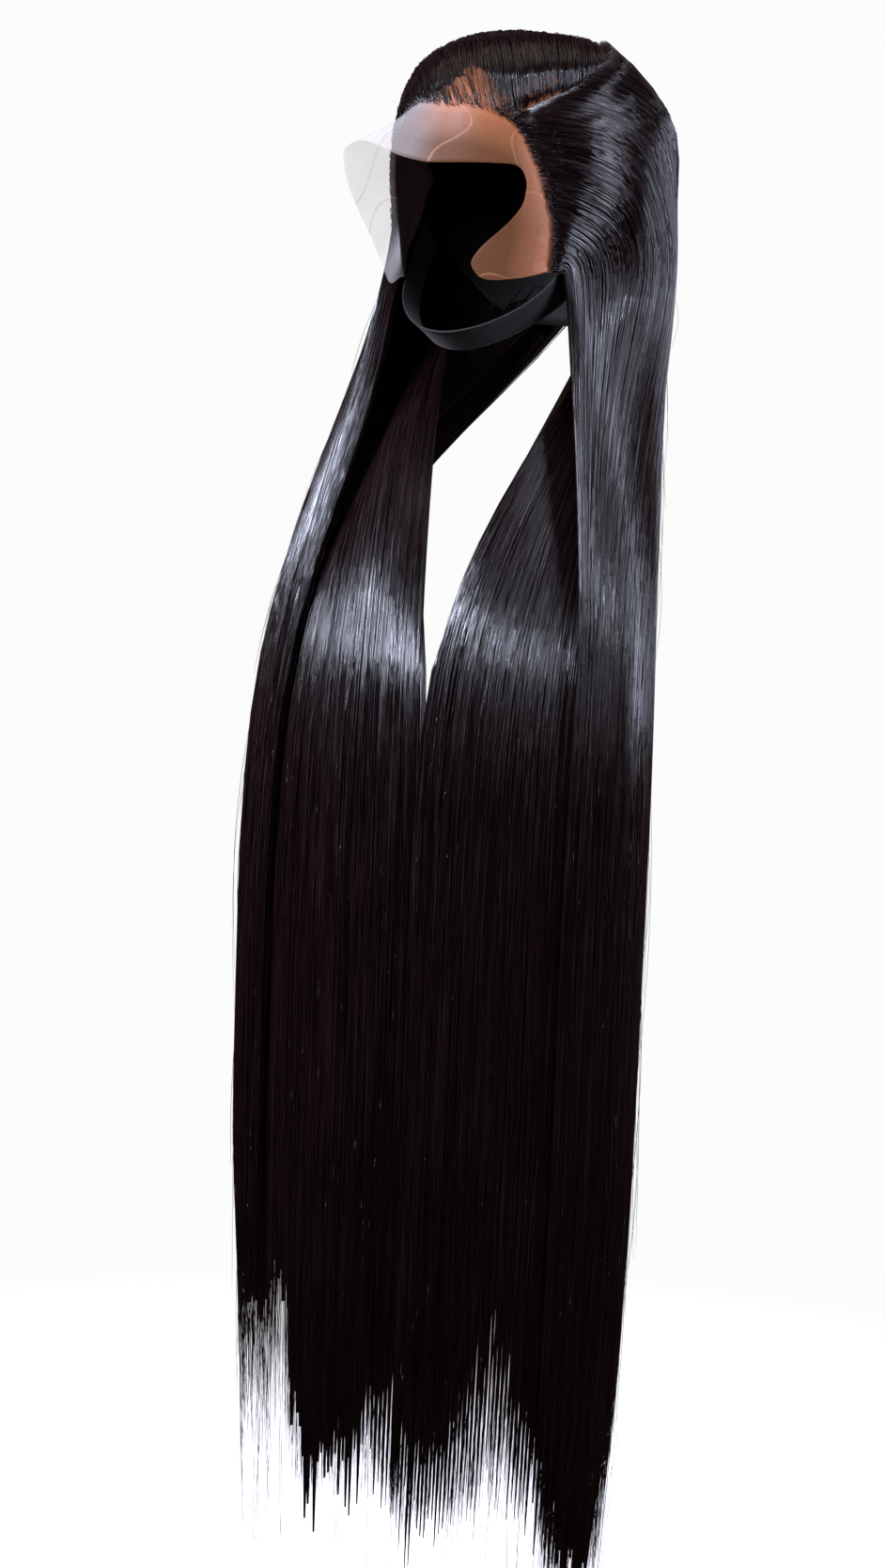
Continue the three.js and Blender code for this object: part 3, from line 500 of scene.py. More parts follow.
def outer_flow(strands, sections, side):
    """Outer and inner points of the layer from the part, by column and row."""
    over, under, _ = head_flow(strands, side)
    _, fall_out, fall_in = zip(*fall_lines(sections, side))
    return joined_flow(over, fall_out), joined_flow(under, fall_in)


def joined_flow(head, fall):
    """Head rows and fall rows joined into one smooth flow."""
    fall = np.stack(fall, 1)
    share = np.arange(1, JOIN_ROWS + 1)[None] / (JOIN_ROWS + 1)
    return eased(np.concatenate([head, mix(head[:, -1:], fall[:, :1], share), fall], 1))


def eased(grid):
    """A flow with its rows and columns smoothed, most where the hair leaves the head."""
    grid = smoothed(smoothed(grid, 1, ROW_PASSES), 0, COLUMN_PASSES)
    leave = grid.shape[1] - FALL_ROWS
    first, last = max(leave - JOIN_ROWS - EXIT_ROWS[0], 0), leave + EXIT_ROWS[1]
    grid[:, first:last] = smoothed(grid[:, first:last], 1, EXIT_PASSES)
    return smoothed(grid, 1, LAST_PASSES)


def across_at(points, share):
    """Points at a share of a row's breadth."""
    place = np.asarray(share) * (len(points) - 1)
    return np.stack([np.interp(place, np.arange(len(points)), points[:, a]) for a in range(3)], -1)


def nape_flow(strands, sections, side):
    """Outer and inner points of the layer from the nape, by column and row."""
    _, roof, floor = head_flow(strands, side)
    columns = np.linspace(0, 1, FLOW_COLUMNS)
    over = []
    under = []
    for (start, end, fill), row in zip(NAPE_ROOTS, (HEAD_ROWS - 2, HEAD_ROWS)):
        share = start + (end - start) * columns
        low = across_at(floor[:, row], share)
        over.append(low + (across_at(roof[:, row], share) - low) * fill)
        under.append(low)
    fall_out = []
    fall_in = []
    share = np.linspace(0, 1, TUCK_STEPS)
    for row, line, low in fall_lines(sections, side):
        tucked = row[12] + (row[13] - row[12]) * share
        inner, outer = across_at(low, tucked), across_at(line, tucked)
        under_line = inner - unit(outer - inner) * LAYER_GAP
        edge, lap = (level_points(row[a], row[a + 1], row[0]) for a in (8, 10))
        lead = bend(edge, lap, under_line[0], share[:-1])
        whole = evened(np.concatenate([lead, under_line]), FLOW_COLUMNS)
        fall_out.append(whole)
        fall_in.append(inside_of(whole, NAPE_DEPTH * min(1, row[7]), side))
    return joined_flow(np.stack(over, 1), fall_out), joined_flow(np.stack(under, 1), fall_in)


def flow_at(grid, column, row):
    """Points of a flow at fractional columns and rows, carried on before the first row."""
    columns, rows = grid.shape[:2]
    column = np.clip(column, 0, columns - 1.001)
    ahead = np.minimum(row, 0)
    row = np.clip(row, 0, rows - 1.001)
    a = column.astype(int)
    b = row.astype(int)
    s = (column - a)[..., None]
    t = (row - b)[..., None]
    low = grid[a, b] * (1 - s) + grid[a + 1, b] * s
    high = grid[a, b + 1] * (1 - s) + grid[a + 1, b + 1] * s
    return low * (1 - t) + high * t + (high - low) * ahead[..., None]


# Meshes

def mesh_object(name, points, faces, flow, material):
    """A smooth mesh object in metres from points in millimetres, with its flow kept as a UV map."""
    mesh = bpy.data.meshes.new(name)
    sizes = np.concatenate([np.full(len(group), group.shape[1]) for group in faces])
    corners = np.concatenate([group.ravel() for group in faces])
    mesh.vertices.add(len(points))
    mesh.vertices.foreach_set("co", (points / 1000).ravel())
    mesh.loops.add(len(corners))
    mesh.loops.foreach_set("vertex_index", corners)
    mesh.polygons.add(len(sizes))
    mesh.polygons.foreach_set("loop_start", np.cumsum(sizes) - sizes)
    mesh.polygons.foreach_set("loop_total", sizes)
    mesh.polygons.foreach_set("use_smooth", np.ones(len(sizes), bool))
    mesh.update(calc_edges=True)
    layer = mesh.uv_layers.new(name="flow")
    layer.data.foreach_set("uv", flow[corners].ravel())
    mesh.materials.append(bpy.data.materials[material])
    made = bpy.data.objects.new(name, mesh)
    bpy.context.scene.collection.objects.link(made)
    return made


def turned_out(points, faces):
    """Groups of faces turned so that the closed mesh looks outward."""
    volume = 0.0
    for group in faces:
        for corner in range(1, group.shape[1] - 1):
            first, second, third = (points[group[:, c]] for c in (0, corner, corner + 1))
            volume += np.sum(first * np.cross(second, third))
    return [group[:, ::-1] for group in faces] if volume < 0 else faces


def slab(outer, inner):
    """Points and faces of a closed sheet from the grids of its two sides."""
    rows, columns = outer.shape[:2]
    count = rows * columns
    index = np.arange(count).reshape(rows, columns)
    a, b = index[:-1, :-1].ravel(), index[:-1, 1:].ravel()
    c, d = index[1:, 1:].ravel(), index[1:, :-1].ravel()
    ring = np.concatenate([index[0], index[1:, -1], index[-1, -2::-1], index[-2:0:-1, 0]])
    after = np.roll(ring, -1)
    faces = np.concatenate([
        np.stack([a, b, c, d], 1),
        np.stack([a, d, c, b], 1) + count,
        np.stack([ring, ring + count, after + count, after], 1),
    ])
    points = np.concatenate([outer.reshape(-1, 3), inner.reshape(-1, 3)])
    return points, turned_out(points, [faces])


def slab_flow(outer, start=0.0):
    """Flow coordinates in metres for both sides of a sheet: across and along."""
    flow = np.stack([lengths(outer, 1), lengths(outer, 0) + start * 1000], -1).reshape(-1, 2) / 1000
    return np.concatenate([flow, flow])


def tubes(centres, facing, radius, start):
    """Points, faces and flow of closed three-sided strands along rows of centres."""
    strands, steps = centres.shape[:2]
    along = unit(np.gradient(centres, axis=1))
    side = unit(np.cross(along, facing))
    out = np.cross(side, along)
    angle = (np.arange(3) * 2 * math.pi / 3 + math.pi / 2)[None, None, :, None]
    ring = np.cos(angle) * side[:, :, None] + np.sin(angle) * out[:, :, None]
    points = (centres[:, :, None] + ring * radius[:, :, None, None]).reshape(-1, 3)
    index = np.arange(strands * steps * 3).reshape(strands, steps, 3)
    walls = []
    for corner in range(3):
        after = (corner + 1) % 3
        walls.append(np.stack([index[:, :-1, corner], index[:, 1:, corner], index[:, 1:, after],
                               index[:, :-1, after]], -1).reshape(-1, 4))
    ends = np.concatenate([index[:, 0], index[:, -1, ::-1]])
    flow = np.empty((strands, steps, 3, 2))
    flow[..., 0] = start[:, None, None]
    flow[..., 1] = (lengths(centres, 1) / 1000)[:, :, None]
    return points, turned_out(points, [np.concatenate(walls), ends]), flow.reshape(-1, 2)


def joined(parts):
    """Several (points, faces, flow) joined into one."""
    points, faces, flow, before = [], [], [], 0
    for part_points, part_faces, part_flow in parts:
        points.append(part_points)
        flow.append(part_flow)
        faces += [group + before for group in part_faces]
        before += len(part_points)
    return np.concatenate(points), faces, np.concatenate(flow)


# Materials

def linear(colour):
    """A linear colour with alpha from an sRGB hex value."""
    parts = [int(colour[i:i + 2], 16) / 255 for i in (0, 2, 4)]
    return (*[p / 12.92 if p <= 0.04045 else ((p + 0.055) / 1.055) ** 2.4 for p in parts], 1.0)


def add_node(tree, kind, settings=None, links=None):
    """Adds a node, with its settings and sockets set and its links made, by name or number."""
    made = tree.nodes.new(kind)
    for name, value in (settings or {}).items():
        if isinstance(name, int) or name in made.inputs.keys():
            made.inputs[name].default_value = value
        else:
            setattr(made, name, value)
    for name, source in (links or {}).items():
        tree.links.new(source, made.inputs[name])
    return made


def new_material(name):
    """An empty material with its output node."""
    made = bpy.data.materials.new(name)
    made.use_nodes = True
    made.node_tree.nodes.clear()
    return made, made.node_tree, made.node_tree.nodes.new("ShaderNodeOutputMaterial")


def surface(tree, out, settings, links):
    """Joins a principled shader to a material's output."""
    shader = add_node(tree, "ShaderNodeBsdfPrincipled", settings, links)
    tree.links.new(shader.outputs["BSDF"], out.inputs["Surface"])


def flow_cells(tree, across=1.0, along=1.0):
    """The flow across and along a piece, in cells of which so many make a metre."""
    flow = add_node(tree, "ShaderNodeUVMap", {"uv_map": "flow"})
    return add_node(tree, "ShaderNodeMapping", {"Scale": (across, along, 1.0)},
                    {"Vector": flow.outputs["UV"]}).outputs["Vector"]


def ramp(tree, source, stops):
    """A colour ramp from (place, linear colour) stops."""
    made = add_node(tree, "ShaderNodeValToRGB", links={"Fac": source})
    elements = made.color_ramp.elements
    elements[0].position, elements[0].color = stops[0]
    elements[1].position, elements[1].color = stops[-1]
    for place, colour in stops[1:-1]:
        elements.new(place).color = colour
    return made.outputs["Color"]


def hair_material(name, dark, warm, light, roughness, shine):
    """Polished near-black human hair, brushed straight: its locks differ in colour and shine."""
    made, tree, out = new_material(name)
    # One cell of colour is a lock 2.4 mm across and 140 mm along, drawn coarse enough to show
    streaks = add_node(tree, "ShaderNodeTexNoise", {"Scale": 1.0, "Detail": 3.0, "Roughness": 0.6},
                       {"Vector": flow_cells(tree, 420.0, 7.0)}).outputs["Fac"]
    tone = ramp(tree, streaks, [(0.30, linear(dark)), (0.60, linear(warm)), (0.80, linear(light))])
    # Painted light: towards the tips the colour is drawn lighter brown, standing in for light that
    # shines through the fine ends
    split = add_node(tree, "ShaderNodeSeparateXYZ", links={"Vector": flow_cells(tree)})
    ends = add_node(tree, "ShaderNodeMapRange",
                    {"From Min": 1.0, "From Max": 1.35, "To Min": 0.0, "To Max": 0.8},
                    {"Value": split.outputs["Y"]})
    colour = add_node(tree, "ShaderNodeMix", {"data_type": "RGBA", 7: linear(light)},
                      {0: ends.outputs["Result"], 6: tone})
    polish = add_node(tree, "ShaderNodeMapRange",
                      {"From Min": 0.38, "From Max": 0.66,
                       "To Min": roughness - 0.04, "To Max": roughness + 0.22}, {"Value": streaks})
    # Locks wander by a few degrees every 25 mm or so, which breaks the shine into streaks
    ripple = add_node(tree, "ShaderNodeTexNoise", {"Scale": 1.0, "Detail": 1.0},
                      {"Vector": flow_cells(tree, 520.0, 40.0)})
    bump = add_node(tree, "ShaderNodeBump", {"Strength": 1.0, "Distance": 0.0010},
                    {"Height": ripple.outputs["Fac"]})
    surface(tree, out, {"IOR": 1.55, "Metallic": 0.0, "Specular IOR Level": shine},
            {"Base Color": colour.outputs[2], "Roughness": polish.outputs["Result"],
             "Normal": bump.outputs["Normal"]})
    return made


def net_threads(tree, mesh_mm, thread, gap):
    """A value that is thread on the net's threads and gap in its cells."""
    cells = add_node(tree, "ShaderNodeTexVoronoi",
                     {"feature": "DISTANCE_TO_EDGE", "voronoi_dimensions": "2D", "Scale": 1.0,
                      "Randomness": 0.35}, {"Vector": flow_cells(tree, 1000 / mesh_mm, 1000 / mesh_mm)})
    return add_node(tree, "ShaderNodeMapRange",
                    {"From Min": 0.05, "From Max": 0.16, "To Min": thread, "To Max": gap},
                    {"Value": cells.outputs["Distance"]}).outputs["Result"]


def net_material(name, thread, mesh_mm, gap_alpha, thread_alpha, roughness):
    """Knitted net: threads round open cells, so what lies behind shows through."""
    made, tree, out = new_material(name)
    threads = net_threads(tree, mesh_mm, thread_alpha, gap_alpha)
    bump = add_node(tree, "ShaderNodeBump", {"Strength": 0.5, "Distance": 0.0002},
                    {"Height": threads})
    surface(tree, out, {"Base Color": linear(thread), "IOR": 1.5, "Metallic": 0.0,
                        "Roughness": roughness},
            {"Alpha": threads, "Normal": bump.outputs["Normal"]})
    return made


def lace_material(name, mesh_mm, lobe):
    """Fine clear lace: tinted like skin at the knots, and a whitish film where it stands free."""
    made, tree, out = new_material(name)
    threads = net_threads(tree, mesh_mm, 1.25, 0.75)
    flow = flow_cells(tree)
    split = add_node(tree, "ShaderNodeSeparateXYZ", links={"Vector": flow})
    # 0 is 20 mm behind the hairline and 1 is 60 mm in front of it
    place = add_node(tree, "ShaderNodeMapRange", {"From Min": -0.02, "From Max": 0.06},
                     {"Value": split.outputs["Y"]}).outputs["Result"]
    tint = ramp(tree, place, [(0.0, linear("9a5a38")), (0.24, linear("cf7f52")),
                              (0.40, linear("dc8c5c")), (0.80, linear("e29a6c"))])
    cover = ramp(tree, place, [(at, (much, much, much, 1)) for at, much in
                               ((0.0, 0.8), (0.24, 0.60), (0.36, 0.30), (0.62, 0.12))])
    # The lobe that stands free is almost clear
    free = add_node(tree, "ShaderNodeMapRange", {"From Min": lobe + 0.02, "From Max": lobe - 0.02},
                    {"Value": split.outputs["X"]}).outputs["Result"]
    pale = add_node(tree, "ShaderNodeMix", {"data_type": "RGBA", 7: linear("f6f3f1")},
                    {0: free, 6: tint})
    thin = add_node(tree, "ShaderNodeMix", {"data_type": "RGBA", 7: (0.17, 0.17, 0.17, 1)},
                    {0: free, 6: cover})
    # A few thin fold lines, where the film doubles and shows paler
    folds = add_node(tree, "ShaderNodeTexNoise", {"Scale": 17.0, "Detail": 0.0}, {"Vector": flow})
    middle = add_node(tree, "ShaderNodeMath", {"operation": "SUBTRACT", 1: 0.5},
                      {0: folds.outputs["Fac"]})
    off = add_node(tree, "ShaderNodeMath", {"operation": "ABSOLUTE"}, {0: middle.outputs[0]})
    line = add_node(tree, "ShaderNodeMapRange",
                    {"From Min": 0.002, "From Max": 0.008, "To Min": 0.16, "To Max": 0.0},
                    {"Value": off.outputs[0]})
    film = add_node(tree, "ShaderNodeMath", {"operation": "MULTIPLY"}, {0: thin.outputs[2], 1: threads})
    clear = add_node(tree, "ShaderNodeMath", {"operation": "ADD", "use_clamp": True},
                     {0: film.outputs[0], 1: line.outputs["Result"]})
    # Soft creases 20 mm apart and the net's own threads
    creases = add_node(tree, "ShaderNodeTexNoise", {"Scale": 50.0, "Detail": 2.0}, {"Vector": flow})
    soft = add_node(tree, "ShaderNodeBump", {"Strength": 0.5, "Distance": 0.004},
                    {"Height": creases.outputs["Fac"]})
    bump = add_node(tree, "ShaderNodeBump", {"Strength": 0.3, "Distance": 0.0002},
                    {"Height": threads, "Normal": soft.outputs["Normal"]})
    surface(tree, out, {"IOR": 1.5, "Metallic": 0.0, "Roughness": 0.38},
            {"Base Color": pale.outputs[2], "Alpha": clear.outputs[0],
             "Normal": bump.outputs["Normal"]})
    return made


def elastic_material(name, dark, light):
    """Woven black elastic: dull, with fine ribs along it, a slight sheen on them and a painted highlight
    on its raised weave.
    """
    made, tree, out = new_material(name)
    flow = flow_cells(tree)
    # Ribs 3 mm and picks 2 mm apart, which catch a little light: their raised weave gets a painted
    # highlight in the colour
    ribs, picks = (add_node(tree, "ShaderNodeTexWave", {"bands_direction": way, "Scale": scale},
                            {"Vector": flow}) for way, scale in (("X", 100.0), ("Y", 180.0)))
    weave = add_node(tree, "ShaderNodeMath", {"operation": "MULTIPLY"},
                     {0: ribs.outputs["Fac"], 1: picks.outputs["Fac"]}).outputs[0]
    # Painted highlight: the black ground is drawn lighter where the weave stands up
    tone = ramp(tree, weave, [(0.0, linear(dark)), (1.0, linear(light))])
    bump = add_node(tree, "ShaderNodeBump", {"Strength": 0.7, "Distance": 0.0003}, {"Height": weave})
    surface(tree, out, {"IOR": 1.5, "Metallic": 0.0, "Roughness": 0.62, "Sheen Weight": 0.15},
            {"Base Color": tone, "Normal": bump.outputs["Normal"]})
    return made


def floor_material(name, colour, inner, outer):
    """Pale studio paper that fades out at its rim."""
    made, tree, out = new_material(name)
    place = add_node(tree, "ShaderNodeTexCoord")
    length = add_node(tree, "ShaderNodeVectorMath", {"operation": "LENGTH"},
                      {"Vector": place.outputs["Object"]})
    fade = add_node(tree, "ShaderNodeMapRange",
                    {"From Min": inner, "From Max": outer, "To Min": 1.0, "To Max": 0.0},
                    {"Value": length.outputs["Value"]})
    # Its own bounce would grey the ends of the hair, so no other surface sees it
    path = add_node(tree, "ShaderNodeLightPath")
    seen = add_node(tree, "ShaderNodeMath", {"operation": "MULTIPLY"},
                    {0: fade.outputs["Result"], 1: path.outputs["Is Camera Ray"]})
    surface(tree, out, {"Base Color": linear(colour), "Roughness": 0.9, "Specular IOR Level": 0.1,
                        "Emission Color": linear(colour), "Emission Strength": 0.62},
            {"Alpha": seen.outputs[0]})
    return made


# Settings

class WigHairSettings(bpy.types.PropertyGroup):
    strand_width: FloatProperty(
        name="Strand width", description="Width of one drawn strand, in metres",
        default=0.00075, min=0.0001, max=0.003, unit="LENGTH")
    outer_strands: IntProperty(
        name="Outer strands", description="Strands drawn in each outer layer", default=1290)
    nape_strands: IntProperty(
        name="Nape strands", description="Strands drawn in each nape layer", default=1150)
    hairline_strands: IntProperty(
        name="Hairline strands", description="Short hairs drawn along each hairline", default=420)
    edge_strands: IntProperty(
        name="Edge strands", description="Strands drawn over each inner edge", default=70)
    loose_strands: IntProperty(
        name="Loose strands", description="Stray hairs drawn off each layer", default=120)


class WigLaceSettings(bpy.types.PropertyGroup):
    thickness: FloatProperty(
        name="Lace thickness", description="Thickness of the lace, in metres",
        default=0.0004, min=0.0001, max=0.002, unit="LENGTH")
    mesh: FloatProperty(
        name="Lace mesh", description="Size of one cell of the net, drawn coarse enough to show",
        default=0.0013, min=0.0003, max=0.01, unit="LENGTH")


def light_power(name, power):
    """The setting of one light's power."""
    return FloatProperty(name=f"{name} light", description=f"Power of the {name.lower()} light",
                         default=power, unit="POWER")


class WigStudioSettings(bpy.types.PropertyGroup):
    key_power: light_power("Key", 50.0)
    fill_power: light_power("Fill", 84.0)
    side_power: light_power("Side", 52.0)
    rear_power: light_power("Rear", 9.0)
    top_power: light_power("Top", 10.0)
    backdrop: FloatVectorProperty(
        name="Backdrop", description="Colour seen behind the wig", subtype="COLOR", size=3,
        default=(0.97, 0.97, 0.97))


# Hair pieces

SIDES = {
    "left": (LEFT_STRANDS, LEFT_SECTIONS, 1, LEFT_ROOTS),
    "right": (RIGHT_STRANDS, RIGHT_SECTIONS, -1, RIGHT_ROOTS),
}


class Layer:
    """One layer of hair: its flow and how it starts and ends, column by column."""

    def __init__(self, side, kind):
        strands, sections, sign, roots = SIDES[side]
        self.name = f"{kind}_{side}"
        self.kind = kind
        columns = np.arange(FLOW_COLUMNS)
        if kind == "hair":
            self.outer, self.inner = outer_flow(strands, sections, sign)
            self.leave = HEAD_ROWS
            places = columns / (FLOW_COLUMNS - 1) * (len(strands) - 1)
            self.start = np.interp(places, roots[:, 0], roots[:, 1])
            self.crown = np.interp(places, np.arange(len(strands)), strands[:, 7]).clip(0, 1)
            self.open = smoothstep(self.start, 0.6, 1.3)
        else:
            self.outer, self.inner = nape_flow(strands, sections, sign)
            self.leave = 1
            self.start = self.crown = self.open = np.zeros(FLOW_COLUMNS)

    def row_of_drop(self, drop):
        """The flow's row at a share of the hair's drop."""
        return self.leave + 1 + JOIN_ROWS + (drop - FIRST_DROP) / (1 - FIRST_DROP) * (FALL_ROWS - 1)

    def at_column(self, values, column):
        """A value of each column at fractional columns."""
        return np.interp(column, np.arange(FLOW_COLUMNS), values)

    def roots(self, column):
        """Where hair starts at fractional columns, how open it is there and how much it is crown."""
        return (self.at_column(values, column) for values in (self.start, self.open, self.crown))

    def ends(self, column):
        """How far the full body and the last wisps stop short of the longest hair."""
        share = np.asarray(column) / (FLOW_COLUMNS - 1)
        table = TIPS[self.name]
        return np.interp(share, table[:, 0], table[:, 1]), np.interp(share, table[:, 0], table[:, 2])

    def surfaces(self, column, row):
        """Outer and inner points at columns and rows, and the way from the one to the other."""
        out = flow_at(self.outer, column, row)
        under = flow_at(self.inner, column, row)
        return out, under, unit(out - under), np.linalg.norm(out - under, axis=-1)


def bed_parts(layer, rng):
    """A closed bed of hair under the strands, which ends in narrow locks of uneven length."""
    across = np.linspace(0, FLOW_COLUMNS - 1, BED_COLUMNS)
    last = layer.row_of_drop(BED_SPLIT)
    settled = layer.row_of_drop(BED_SETTLED)
    along = np.concatenate([np.arange(0, settled, 2.0), np.linspace(settled, last, 10)])
    column, row = np.meshgrid(across, along)
    first, opened, crown = layer.roots(column)
    start = first + 1.1 * opened
    if layer.kind == "hair":
        start = start + (0.35 + 0.4 * opened) * lattice_noise(rng, across, 1.2)[None]
    row = start + row * (last - start) / last
    out, under, away, depth = layer.surfaces(column, row)
    if layer.kind == "hair":
        risen = smoothstep(row - first, 0, 3.0 + 5.0 * opened)
        full = smoothstep(row - start, 0, BED_RISE + 5 * opened)
        low = under - away * (ROOT_SINK * (1 - risen) * (1 - crown))[..., None]
        out = low + (out - under) * (0.08 + 0.92 * np.maximum(full, crown))[..., None]
        under = low
        depth = np.linalg.norm(out - under, axis=-1)
    ridge = lattice_noise(rng, across, 1.9)[None] * 0.55 * smoothstep(depth, 3, 8)
    out = out - away * (np.minimum(BED_SINK, depth * 0.5) - ridge)[..., None]
    points, faces = slab(out, under)
    parts = [(points, faces, slab_flow(out))]
    edges = np.linspace(0.3, FLOW_COLUMNS - 1.3, BED_LOCKS + 1)
    share = np.linspace(0, 1, 9)
    width = 1.05 - 0.99 * share ** 2.2
    for left, right in zip(edges[:-1], edges[1:]):
        body, _ = layer.ends((left + right) / 2)
        end = layer.row_of_drop(1 - (body + rng.uniform(*LOCK_ENDS)) / HAIR_DROP)
        columns = (left + right) / 2 + np.linspace(-0.5, 0.5, 4) * (right - left) * width[:, None]
        rows = np.broadcast_to(np.linspace(last - 2, end, 9)[:, None], columns.shape)
        out, under, away, depth = layer.surfaces(columns, rows)
        out = out - away * BED_SINK
        heart = (out + under) / 2
        slim = (0.35 + 0.6 * width)[:, None, None]
        out = heart + (out - heart) * slim
        points, faces = slab(out, heart + (under - heart) * slim)
        parts.append((points, faces, slab_flow(out, 0.9)))
    return parts


def strand_rows(layer, column, rng):
    """The rows that each strand passes, from its root to its tip."""
    count = len(column)
    start, opened, crown = layer.roots(column)
    over_head = layer.kind == "hair"
    if over_head:
        spread = rng.uniform(0, 1, count)
        near = (0.5 + 2.5 * opened) * rng.uniform(0, 1, count) ** 1.2
        lead = 0.45 + 0.45 * np.maximum(opened, crown)
        root = start - lead + np.where(spread < NEAR_SHARE, near, rng.uniform(0, 24, count))
    else:
        root = rng.uniform(-0.6, 0.8, count)
    body, wisps = layer.ends(column)
    fate = rng.uniform(0, 1, count)
    fine = 0.5 if layer.name == "hair_right" else 0.6
    short = wisps + (body - wisps) * rng.uniform(0, 1, count) ** fine
    short = short + 12 * lattice_noise(rng, column, 2.4)
    short = np.where(fate < EARLY_SHARE, body + rng.uniform(0, 1, count) ** 2 * EARLY_BY, short)
    end = layer.row_of_drop(1 - np.maximum(short, 4) / HAIR_DROP)
    turns = layer.leave + rng.uniform(-9, -1, count) if over_head else np.full(count, 1.5)
    drops = turns + rng.uniform(18, 24, count)
    settles = layer.row_of_drop(SETTLE_DROP) + rng.uniform(-3, 3, count)
    stages = (root, turns, drops, settles, end)
    steps = HAIR_STEPS if over_head else NAPE_STEPS
    shares = [np.linspace(0, 1, many + 1)[:-1] for many in steps] + [np.array(TIP_STEPS)]
    return np.concatenate([a[:, None] + (b - a)[:, None] * share[None]
                           for a, b, share in zip(stages[:-1], stages[1:], shares)], 1)


def strand_parts(layer, count, width, rng):
    """Closed strands that follow a layer from their roots to their tips."""
    column = (np.arange(count) + rng.uniform(0, 1, count)) / count * (FLOW_COLUMNS - 2) + 0.5
    rows = strand_rows(layer, column, rng)
    down = np.clip((rows - layer.leave) / (layer.outer.shape[1] - layer.leave), 0, 1)

    centre = (np.floor(column / FLOW_COLUMNS * WISPS) + 0.5) / WISPS * FLOW_COLUMNS
    pull = rng.uniform(0.0, 0.8, count)[:, None] * smoothstep(down, 0.70, 1.0)
    columns = column[:, None] + (centre - column)[:, None] * pull
    drift = rng.normal(0, 1, (count, 3))
    wave = (drift[:, :1] * np.sin(down * 3.1 + drift[:, 1:2] * 2)
            + 0.4 * drift[:, 2:3] * np.sin(down * 9 + drift[:, 1:2] * 5))
    columns = columns + wave * smoothstep(rows, 4, 40)
    columns = columns + rng.normal(0, 1, (count, 1)) * 1.3 * smoothstep(down, 0.75, 1)

    out, under, away, depth = layer.surfaces(columns, rows)
    level = rng.uniform(0, 1, count)[:, None] ** 0.8
    lift = np.maximum(-2.2 + 2.9 * level + 0.3 * np.sin(down * 7 + drift[:, 1:2] * 6),
                      -0.8 * depth)
    beneath = (rng.uniform(0, 1, count) < BENEATH_SHARE)[:, None] * smoothstep(
        rows, layer.leave - 8, layer.leave + 8)
    lift = lift + (-depth + 0.4 + 1.2 * level - lift) * beneath
    points = out + away * lift[..., None]
    _, opened, crown = layer.roots(column)
    risen = smoothstep(rows - rows[:, :1], 0, 3.0 + 5.0 * opened[:, None])
    ground = under - away * (ROOT_SINK + 0.2)
    ground = ground + (out - away * 1.5 - ground) * crown[:, None, None]
    points = ground + (points - ground) * risen[..., None]
    splay = rng.normal(0, 1, (count, 1, 3)) * np.array([1, 1, 0.2])
    points = points + splay * (4 * smoothstep(down, 0.80, 1.02) ** 2)[..., None]

    share = np.linspace(0, 1, rows.shape[1])
    thin = (0.45 + 0.55 * smoothstep(share, -0.02, 0.10)) * (1 - 0.80 * smoothstep(share, 0.78, 1.0))
    thick = width * rng.uniform(0.65, 1.25, count)[:, None] / 2 * thin[None]
    return tubes(points, away, thick, column * LOCK_ACROSS + rng.uniform(0, 0.0009, count))


def edge_parts(layer, count, width, rng):
    """Strands that drift over the inner edge of a nape layer and close the slit."""
    first = layer.row_of_drop(EDGE_FROM)
    ends = layer.row_of_drop(1 - (58 + rng.uniform(0, 60, count)) / HAIR_DROP)
    share = np.linspace(0, 1, 14)
    rows = first + (ends - first)[:, None] * share[None]
    reach = rng.uniform(*EDGE_REACH, count)[:, None]
    columns = 1.2 + (reach - 1.2) * smoothstep(share, 0.0, 0.10)[None]
    columns = columns + rng.normal(0, 0.35, (count, 1)) * np.sin(share * 8)[None]
    out, _, away, depth = layer.surfaces(columns, rows)
    beyond = np.minimum(columns, 0)
    edge = flow_at(layer.outer, np.ones_like(rows), rows) - flow_at(
        layer.outer, np.zeros_like(rows), rows)
    deep = rng.uniform(0, 1, (count, 1)) * np.minimum(depth, 8)
    points = out - away * deep[..., None] + edge * beyond[..., None]
    thin = 1 - 0.8 * smoothstep(share, 0.8, 1)
    thick = width * rng.uniform(0.7, 1.2, count)[:, None] / 2 * thin[None]
    return tubes(points, away, thick, rng.uniform(0, 10, count))


def short_parts(layer, count, last_column, rng):
    """Fine short hairs that start in front of the hairline and lie back over the first roots."""
    column = rng.uniform(0.5, last_column, count)
    start = layer.at_column(layer.start, column) - rng.uniform(0.9, 1.9, count)
    length = rng.uniform(1.6, 7, count)
    share = np.linspace(0, 1, 8)
    rows = start[:, None] + length[:, None] * share[None]
    bow = rng.normal(0, 1, (count, 1)) * 1.3
    columns = column[:, None] + bow * share[None] + rng.normal(0, 0.7, (count, 1)) * share[None] ** 2
    _, under, away, depth = layer.surfaces(columns, rows)
    lift = -2.6 + (rng.uniform(1.2, 3.2, (count, 1))) * smoothstep(share, 0, 0.5)[None]
    points = under + away * (lift + np.minimum(depth, 9) * smoothstep(rows, 1, 9))[..., None]
    thin = 1 - 0.75 * smoothstep(share, 0.35, 1)
    thick = rng.uniform(0.16, 0.30, count)[:, None] * thin[None]
    return tubes(points, away, thick, rng.uniform(0, 10, count))


